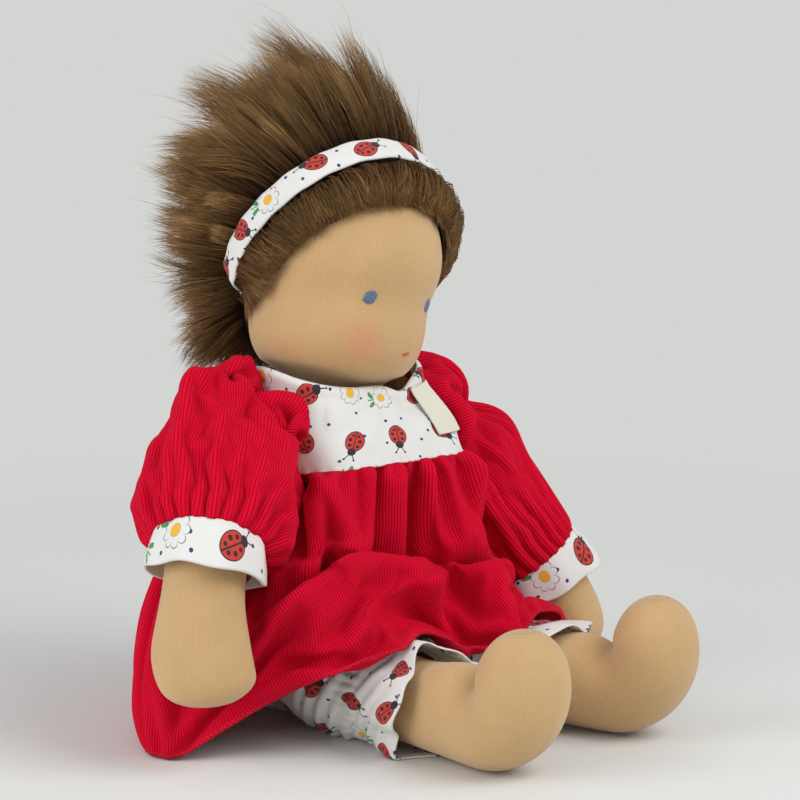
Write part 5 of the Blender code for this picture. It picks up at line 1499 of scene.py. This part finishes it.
def yoke_side(side):
    """Gives a function: how far to its side the yoke's outer face lies, at depths and heights.

    It reads the distance off twelve level outlines of that side, between the two nearest in height.
    """
    turns = (0.0 if side > 0 else -math.pi) + np.linspace(-1.35, 1.35, 81)
    levels = [neckline_closer(yoke_surface(turns, share, LINED_COTTON), turns, share)
              for share in np.linspace(0.0, 1.0, 12)]
    levels = [level[np.argsort(level[:, 1])] for level in levels]

    def reach(points):
        share = np.clip((points[:, 2] - YOKE_BOTTOM) / (YOKE_TOP - YOKE_BOTTOM), 0.0, 0.999)
        share = share * (len(levels) - 1)
        lower = share.astype(int)
        table = np.stack([np.interp(points[:, 1], level[:, 1], np.abs(level[:, 0])) for level in levels])
        near, far = (table[lower + i, np.arange(len(points))] for i in (0, 1))
        return near + (far - near) * (share - lower)

    return reach


def sleeve_crease(side, shares, turns):
    """Depth of each sleeve's one deep fold: lengthwise down the near one, across the top of the far one."""
    if side < 0:
        off = wrap(turns + 0.30 - 0.9 * (shares - 0.15))
        fold = 0.0080 * bell(off, 0.0, 0.26) - 0.0026 * bell(np.abs(off), 0.75, 0.35)
        return fold * smoothstep(shares, 0.14, 0.26) * (1.0 - smoothstep(shares, 0.50, 0.72))
    off = shares - 0.46 - 0.05 * np.sin(turns * 2.0)
    fold = 0.0095 * bell(off, 0.0, 0.06) - 0.0045 * bell(off, -0.16, 0.09) - 0.0030 * bell(off, 0.15, 0.08)
    return fold * smoothstep(np.cos(turns + 0.2), -0.3, 0.6)


def make_sleeve(side, word, material):
    columns, rows = 152, 42
    shares = np.linspace(SLEEVE_START_SHARE, 1.0, rows)
    turns = full_turn(columns)
    path = sleeve_line(side, shares)
    radius = sleeve_radius(side, shares)[:, None]
    ends = (bell(shares, SLEEVE_START_SHARE, 0.16) + bell(shares, 1.0, 0.16))[:, None]
    body = 1.0 - np.minimum(ends, 1.0)
    wander = 0.6 * np.sin(turns * 2.0 + 5.0 * shares[:, None])
    pleats = 0.0009 * ends * np.cos(turns * 22.0 + wander * 2.0)
    folds = body * (0.0022 * np.cos(turns * 5.0 + 2.5 * shares[:, None] + wander)
                    + 0.0012 * np.cos(turns * 9.0 - 3.0 * shares[:, None] + 2.0 * wander))
    radii = radius + pleats + folds
    frames = tube_frames(path, np.array([0.0, -0.6, 0.8]), (side, 0.0, 0.0), cuff_direction(side))
    grid = tube_grid(path, frames, radii, radii, turns)
    offsets = grid - path[:, None]
    offsets[..., 1] *= sleeve_spread(offsets[..., 2] / radius, shares[:, None])
    beside = yoke_side(side)

    def clear(points):
        points[:, 0] = side * np.maximum(np.abs(points[:, 0]), beside(points) + SLEEVE_ROOM)
        return push_off_limb(points, arm_path, arm_radii, SLEEVE_ROOM)

    arm_path = arm_line(side, np.linspace(0.0, 0.7, 12))
    arm_radii = np.full(12, ARM_RADIUS)
    height = offsets[..., 2] / radius
    out, behind, above = SLEEVE_PEAK[side]
    peak = bell(shares, 0.22, 0.15)[:, None] * smoothstep(height, -0.2, 0.8)
    grid = path[:, None] + offsets + peak[..., None] * np.array([side * out, behind, above])
    grid[..., 2] -= SLEEVE_SADDLE[side] * bell(shares, 0.50, 0.09)[:, None] * smoothstep(height, 0.0, 0.8)
    reach = beside(grid.reshape(-1, 3)).reshape(rows, columns)
    grid[..., 0] = side * np.maximum(np.abs(grid[..., 0]), reach + SLEEVE_ROOM)
    grid[0, :, 0] = side * (reach[0] + 0.0003)
    cut = (SLEEVE_FLAT_WIDTH[side], float(run_along(path)[-1]) * SLEEVE_EASE[side])
    grid = fall(grid, cut, (0, -1), clear, 60, 0.000006)
    grid -= unit(grid - path[:, None]) * sleeve_crease(side, shares[:, None], turns)[..., None]
    grid[1:-1] = clear(grid[1:-1].reshape(-1, 3)).reshape(rows - 2, columns, 3)
    obj = corduroy_piece("sleeve_cloth_" + word, grid, cut, 1.0)
    obj.data.materials.append(material)
    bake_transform(obj)
    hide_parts("sleeve_" + word)
    return obj


def make_cuff(side, word, material):
    """A doubled band of the print sewn to the gathered sleeve, standing a little off the arm."""
    columns, rows = 120, 24
    steps = np.linspace(0.0, 1.0, 401)
    line = arm_line(side, steps)
    run = run_along(line)
    start = np.interp(SLEEVE_END_SHARE[side], steps, run) + 0.0002
    along = np.linspace(start, start + CUFF_LENGTH, rows)
    path = np.stack([np.interp(along, run, line[:, i]) for i in range(3)], axis=1)
    turns = full_turn(columns, math.pi)
    share = np.linspace(0.0, 1.0, rows)[:, None]
    waves = 0.0011 * share * np.cos(turns * 3.0 + side) + 0.0004 * np.cos(turns * 8.0)
    radii = CUFF_RADIUS + 0.0024 * share + waves
    radii = radii + 0.0006 * np.sin(share * math.pi)
    frames = tube_frames(path, np.array([0.0, -0.6, 0.8]), cuff_direction(side))
    grid = tube_grid(path, frames, radii, radii, turns)
    sag = share * (0.0035 * np.cos(turns) + 0.0008 * np.cos(turns * 5.0 + side))
    grid = grid + sag[..., None] * frames[0][:, None, :]
    flat = flat_places(np.linspace(0.0, CUFF_FLAT_LENGTH, columns + 1), along - start)
    obj = grid_piece("cuff_cloth_" + word, grid, flat, True)
    sheet_wall(obj, CUFF_THICKNESS)
    dress(obj, material, "arm_" + word, "print", "cuff_" + word)
    return obj


red_corduroy = corduroy("corduroy_sleeve")
for side, word in SIDES:
    make_sleeve(side, word, red_corduroy)
    make_cuff(side, word, print_finish("print_cuff_" + word, (0.0835 - 0.0015 * side, 0.0300)))


# Skirt: a straight length of the corduroy gathered into the yoke's seam. It falls over the lap and
# the hips in folds, lies on the floor behind, and its hem is edged with overlock stitches.

SKIRT_LENGTH = 0.1240
SKIRT_FLAT_WIDTH = 0.6700
SKIRT_FLAT_LENGTH = 0.1480
SKIRT_FOLD_DEPTH = 0.0054
LAP_ROLL = 0.0120
LAP_CREASE = 0.0150
GATHER_HEIGHT = 0.0042
SKIRT_HEM_SHARES = (
    (0.05, -0.72, 0.34), (-0.21, -0.71, 0.41), (-0.48, -0.60, 0.35), (-0.74, -0.40, 0.19),
    (-0.955, -0.185, 0.014), (-0.875, 0.03, 0.012), (-0.73, 0.23, 0.012), (-0.45, 0.45, 0.012),
    (0.00, 0.60, 0.012), (0.45, 0.52, 0.012), (0.73, 0.30, 0.012), (0.87, 0.03, 0.012),
    (0.88, -0.275, 0.065), (0.765, -0.55, 0.21), (0.47, -0.71, 0.40), (0.26, -0.725, 0.35),
)
SKIRT_FALL_SHARES = (
    (0.00, -0.435, 0.48), (-0.24, -0.45, 0.515), (-0.48, -0.41, 0.50), (-0.66, -0.30, 0.50),
    (-0.80, -0.10, 0.50), (-1.03, 0.14, 0.50), (-0.93, 0.34, 0.50), (-0.50, 0.53, 0.50),
    (0.00, 0.56, 0.45), (0.45, 0.50, 0.46), (0.70, 0.32, 0.50), (0.74, 0.08, 0.52),
    (0.66, -0.12, 0.50), (0.50, -0.30, 0.50), (0.38, -0.39, 0.50), (0.20, -0.44, 0.50),
)
SKIRT_FALL_WEIGHT = 1.3
DRAPE_ROOM = 0.0019
FLOOR_ROOM = 0.0010


def closed_curve(points, count):
    """Points at even steps on a smooth closed curve through the given ones."""
    points = np.asarray(points, float)
    steps = np.arange(count) * len(points) / count
    k = steps.astype(int)
    s = (steps - k)[:, None]
    return between(*(points[(k + i) % len(points)] for i in (-1, 0, 1, 2)), s)


def push_off_torso(points, room):
    """Points moved out of the body's outline at their own height."""
    height = (points[:, 2] - COTTON) / (TORSO_TOP - COTTON) * TORSO_TOP
    half_width, half_depth, middle = torso_section(height, room)
    inside = np.hypot(points[:, 0] / half_width, (points[:, 1] - middle) / half_depth)
    scale = 1.0 / np.clip(inside, 0.2, 1.0)
    return np.stack([points[:, 0] * scale, middle + (points[:, 1] - middle) * scale, points[:, 2]], axis=1)


def dressed_leg(side):
    """The middle line and outer radii of a bloomer leg with its ruffle, and the shin beyond it."""
    shares = np.linspace(HIP_SHARE, 0.66, 12)
    path = leg_line(side, shares)
    reach = np.linalg.norm((path - path[0])[:, :2], axis=1)
    radii = np.interp(reach, [0.0, CINCH_REACH, 0.087, LEG_REACH],
                      [BLOOMER_LEG_RADIUS + 0.0012, BLOOMER_LEG_RADIUS, RUFFLE_FLARE + 0.0018, ANKLE_RADIUS])
    return path, radii + COTTON


def dressed_arm(side):
    """The middle line and outer radii of a sleeve, its cuff and the hand."""
    shares = np.array([SLEEVE_START_SHARE, 0.26, 0.44, 0.62, 0.80, 0.92, 1.00])
    hand_shares = np.array([0.62, 0.70, 0.80, 0.90]) + SLEEVE_END_SHARE[side] - SLEEVE_END_SHARE[-1]
    path = np.concatenate([sleeve_line(side, shares), arm_line(side, hand_shares)])
    radii = sleeve_radius(side, shares) * (1.03 + 0.6 * (sleeve_spread(-0.5, shares) - 1.0)) + CORDUROY
    radii = np.concatenate([radii, [CUFF_RADIUS * 1.1 + 0.002] * 2, [HAND_HALF_WIDTH] * 2])
    return path, radii


def skirt_folds(turns, share):
    """Height of the folds: fine gathers under the seam that run together into fewer, deeper folds."""
    gather = math.exp(-((share - 0.05) / 0.19) ** 2) * min(share / 0.02, 1.0)
    fine = np.cos(turns * 44.0 + 1.8 * np.sin(turns * 5.0)) * (0.7 + 0.3 * np.cos(turns * 11.0))
    drift = 0.8 * math.sin(share * 3.0) * np.sin(turns * 2.0 + 0.7)
    ridge = np.cos(turns * 15.0 + 1.6 * np.sin(turns * 3.0) + drift * 3.0)
    ridge = 1.0 - 2.0 * np.abs(np.sin(np.arccos(np.clip(ridge, -1.0, 1.0)) / 2.0)) ** 1.4
    broad = np.cos(turns * 6.0 + 1.1 + drift * 2.0)
    mid = smoothstep(share, 0.04, 0.34) * (1.0 - 0.35 * smoothstep(share, 0.70, 1.0))
    near = 1.0 + 0.5 * bell(wrap(turns + 2.2), 0.0, 0.6)
    return 0.0021 * gather * fine + SKIRT_FOLD_DEPTH * mid * near * (0.70 * ridge + 1.0 * broad)


def lap_fold(turns, share):
    """Rise of the cloth where it meets the lap: a hollow under the belly, then a roll over the thighs."""
    front = bell(wrap(turns + math.pi / 2 + 0.12), 0.0, 0.85)
    place = share - 0.045 * np.sin(turns * 4.0)
    roll = smoothstep(place, 0.44, 0.60) * (1.0 - smoothstep(place, 0.66, 1.0))
    hollow = 0.4 * bell(place, 0.46, 0.07)
    return LAP_ROLL * front * (roll * (1.0 + 0.30 * np.cos(turns * 9.0 + 6.0 * share)) - hollow)


def skirt_creases(turns, share):
    """Height of two sets of ridges: gathers below the seam, and creases slanting from hip to belly."""
    slant = (1.0 - np.abs(np.sin((turns * 6.0 + share * 22.0 + 0.8) / 2.0))) ** 1.6
    where = bell(turns, -2.05, 0.75) * smoothstep(share, 0.14, 0.36) * (1.0 - smoothstep(share, 0.78, 1.0))
    gather = (1.0 - np.abs(np.sin(turns * 16.0 + 1.3 * np.sin(turns * 5.0)))) ** 1.2
    below = smoothstep(share, 0.0, 0.06) * (1.0 - smoothstep(share, 0.12, 0.52))
    return LAP_CREASE * slant * where + GATHER_HEIGHT * gather * below


def keep_off(points, limbs):
    """Points moved out of the body in its bloomers, out of the dressed limbs, and off the floor."""
    points = push_off_torso(points, BLOOMER_EASE + COTTON + DRAPE_ROOM)
    for path, radii in limbs:
        points = push_off_limb(points, path, radii, DRAPE_ROOM)
    points[:, 2] = np.maximum(points[:, 2], FLOOR_ROOM)
    return points


def skirt_grid(turns, rows, limbs):
    """The skirt's middle surface: from the yoke's seam, over lap and hips, out to the hem."""
    middle = np.array([0.0, -TORSO_FORWARD, 0.0])
    seam = np.stack([*yoke_outline(turns, 0.0, 0.0008), yoke_bottom(turns) + 0.0004], axis=1)
    hem = closed_curve(SKIRT_HEM_SHARES, len(turns)) * SKIRT_LENGTH + middle
    fall = closed_curve(SKIRT_FALL_SHARES, len(turns)) * SKIRT_LENGTH + middle
    beside = YOKE_HALF_WIDTH + 0.0006
    grid = []
    for share in np.linspace(0.0, 1.0, rows):
        pull = 2 * SKIRT_FALL_WEIGHT * share * (1 - share)
        ring = (1 - share) ** 2 * seam + pull * fall + share ** 2 * hem
        ring /= (1 - share) ** 2 + pull + share ** 2
        outward = unit((ring - middle) * np.array([1.0, 1.0, 0.0]))
        ring = ring + outward * skirt_folds(turns, share)[:, None] + UP * lap_fold(turns, share)[:, None]
        for _ in range(8 if share > 0.0 else 0):
            ring = keep_off(ring, limbs)
            if share < 0.2:
                ring[:, 0] = np.clip(ring[:, 0], -beside, beside)
        grid.append(ring)
    return np.stack(grid)


def make_skirt(material):
    columns, rows = 248, 48
    turns = -math.pi / 2 - full_turn(columns)
    limbs = [limb(side) for limb in (dressed_leg, dressed_arm) for side, _ in SIDES]
    cut = (SKIRT_FLAT_WIDTH, SKIRT_FLAT_LENGTH)
    start = skirt_grid(turns, rows, limbs)
    grid = fall(start, cut, (0, -1), lambda points: keep_off(points, limbs), 80, 0.000008)
    raised = skirt_creases(wrap(turns)[None, :], np.linspace(0.0, 1.0, rows)[:, None])
    outward = grid + np.array([0.0, TORSO_FORWARD, 0.0])
    outward[..., 2] = 0.06
    grid = grid + unit(outward) * raised[..., None]
    obj = corduroy_piece("skirt_cloth", grid, cut, 0.0)
    dress(obj, material, "torso", "corduroy", "skirt")
    return obj


make_skirt(corduroy("corduroy_skirt", SKIRT_FLAT_LENGTH - 0.0022))


# Studio: a pale floor that fades into a grey backdrop, a large soft light on each side of the camera,
# and the room's even light. The camera stands as for the photo.

FLOOR_COLOUR = (0.75, 0.76, 0.735)
BACKDROP = (0.655, 0.665, 0.65)
TARGET = np.array([0.01423, -0.05344, 0.14912])
CAMERA_PLACE = np.array([-0.88004, -0.97948, 0.33005])
CAMERA_LENS = 125.775
CAMERA_SENSOR = 36.0
TO_RIGHT = np.array([0.7193, -0.6947, 0.0])
TO_CAMERA = np.array([-0.6947, -0.7193, 0.0])


def make_floor():
    """A wide disc. Near the doll it takes light and shadow, further off it fades to the backdrop's grey."""
    grid = np.stack([circle(96) * reach for reach in (0.05, 0.4, 1.0, 3.0, 12.0)])
    obj = grid_piece("floor", grid, np.zeros((5, 97, 2)), True, (True, False))
    finish = Finish("studio_floor", 0.9)
    finish.shader.inputs["Base Color"].default_value = (*FLOOR_COLOUR, 1.0)
    tree = finish.tree
    reach = finish.measure("LENGTH", finish.place())
    light_path = finish.node("ShaderNodeLightPath", {}).socket.node
    seen = Value(finish, light_path.outputs["Is Camera Ray"]).maths(
        "MAXIMUM", Value(finish, light_path.outputs["Is Glossy Ray"]))
    glow = finish.node("ShaderNodeEmission", {}, (*BACKDROP, 1.0), 1.0)
    join = tree.nodes.new("ShaderNodeMixShader")
    tree.links.new((reach.step(0.12, 0.80) * seen).socket, join.inputs[0])
    tree.links.new(finish.shader.outputs[0], join.inputs[1])
    tree.links.new(glow.socket, join.inputs[2])
    tree.links.new(join.outputs[0], tree.nodes["Material Output"].inputs["Surface"])
    obj.data.materials.append(finish.material)


def soft_light(name, place, size, power):
    """A square area light that looks at the doll's middle."""
    data = bpy.data.lights.new(name, "AREA")
    data.size = size
    data.energy = power
    lamp = bpy.data.objects.new(name, data)
    bpy.context.scene.collection.objects.link(lamp)
    lamp.location = place
    aim = Vector(TARGET) - lamp.location
    lamp.rotation_euler = aim.to_track_quat("-Z", "Y").to_euler()


def make_world():
    """Even grey light for the object, and the backdrop's grey where the camera sees past the floor."""
    world = bpy.data.worlds.new("studio")
    bpy.context.scene.world = world
    world.use_nodes = True
    tree = world.node_tree
    even = tree.nodes["Background"]
    even.inputs["Color"].default_value = (0.95, 0.97, 1.0, 1.0)
    even.inputs["Strength"].default_value = 0.52
    seen = tree.nodes.new("ShaderNodeBackground")
    seen.inputs["Color"].default_value = (*BACKDROP, 1.0)
    ray = tree.nodes.new("ShaderNodeLightPath")
    join = tree.nodes.new("ShaderNodeMixShader")
    tree.links.new(ray.outputs["Is Camera Ray"], join.inputs[0])
    tree.links.new(even.outputs[0], join.inputs[1])
    tree.links.new(seen.outputs[0], join.inputs[2])
    tree.links.new(join.outputs[0], tree.nodes["World Output"].inputs["Surface"])


def make_camera():
    data = bpy.data.cameras.new("camera")
    data.lens = CAMERA_LENS
    data.sensor_width = CAMERA_SENSOR
    camera = bpy.data.objects.new("camera", data)
    bpy.context.scene.collection.objects.link(camera)
    camera.location = CAMERA_PLACE
    aim = Vector(TARGET) - camera.location
    camera.rotation_euler = aim.to_track_quat("-Z", "Y").to_euler()
    bpy.context.scene.camera = camera


make_floor()
make_world()
make_camera()
soft_light("key", TO_RIGHT * 0.95 + TO_CAMERA * 0.55 + UP * 1.05, 0.9, 11.5)
soft_light("fill", TO_RIGHT * -1.3 + TO_CAMERA * 0.9 + UP * 0.7, 1.2, 15.0)
bpy.context.scene.view_settings.view_transform = "Standard"
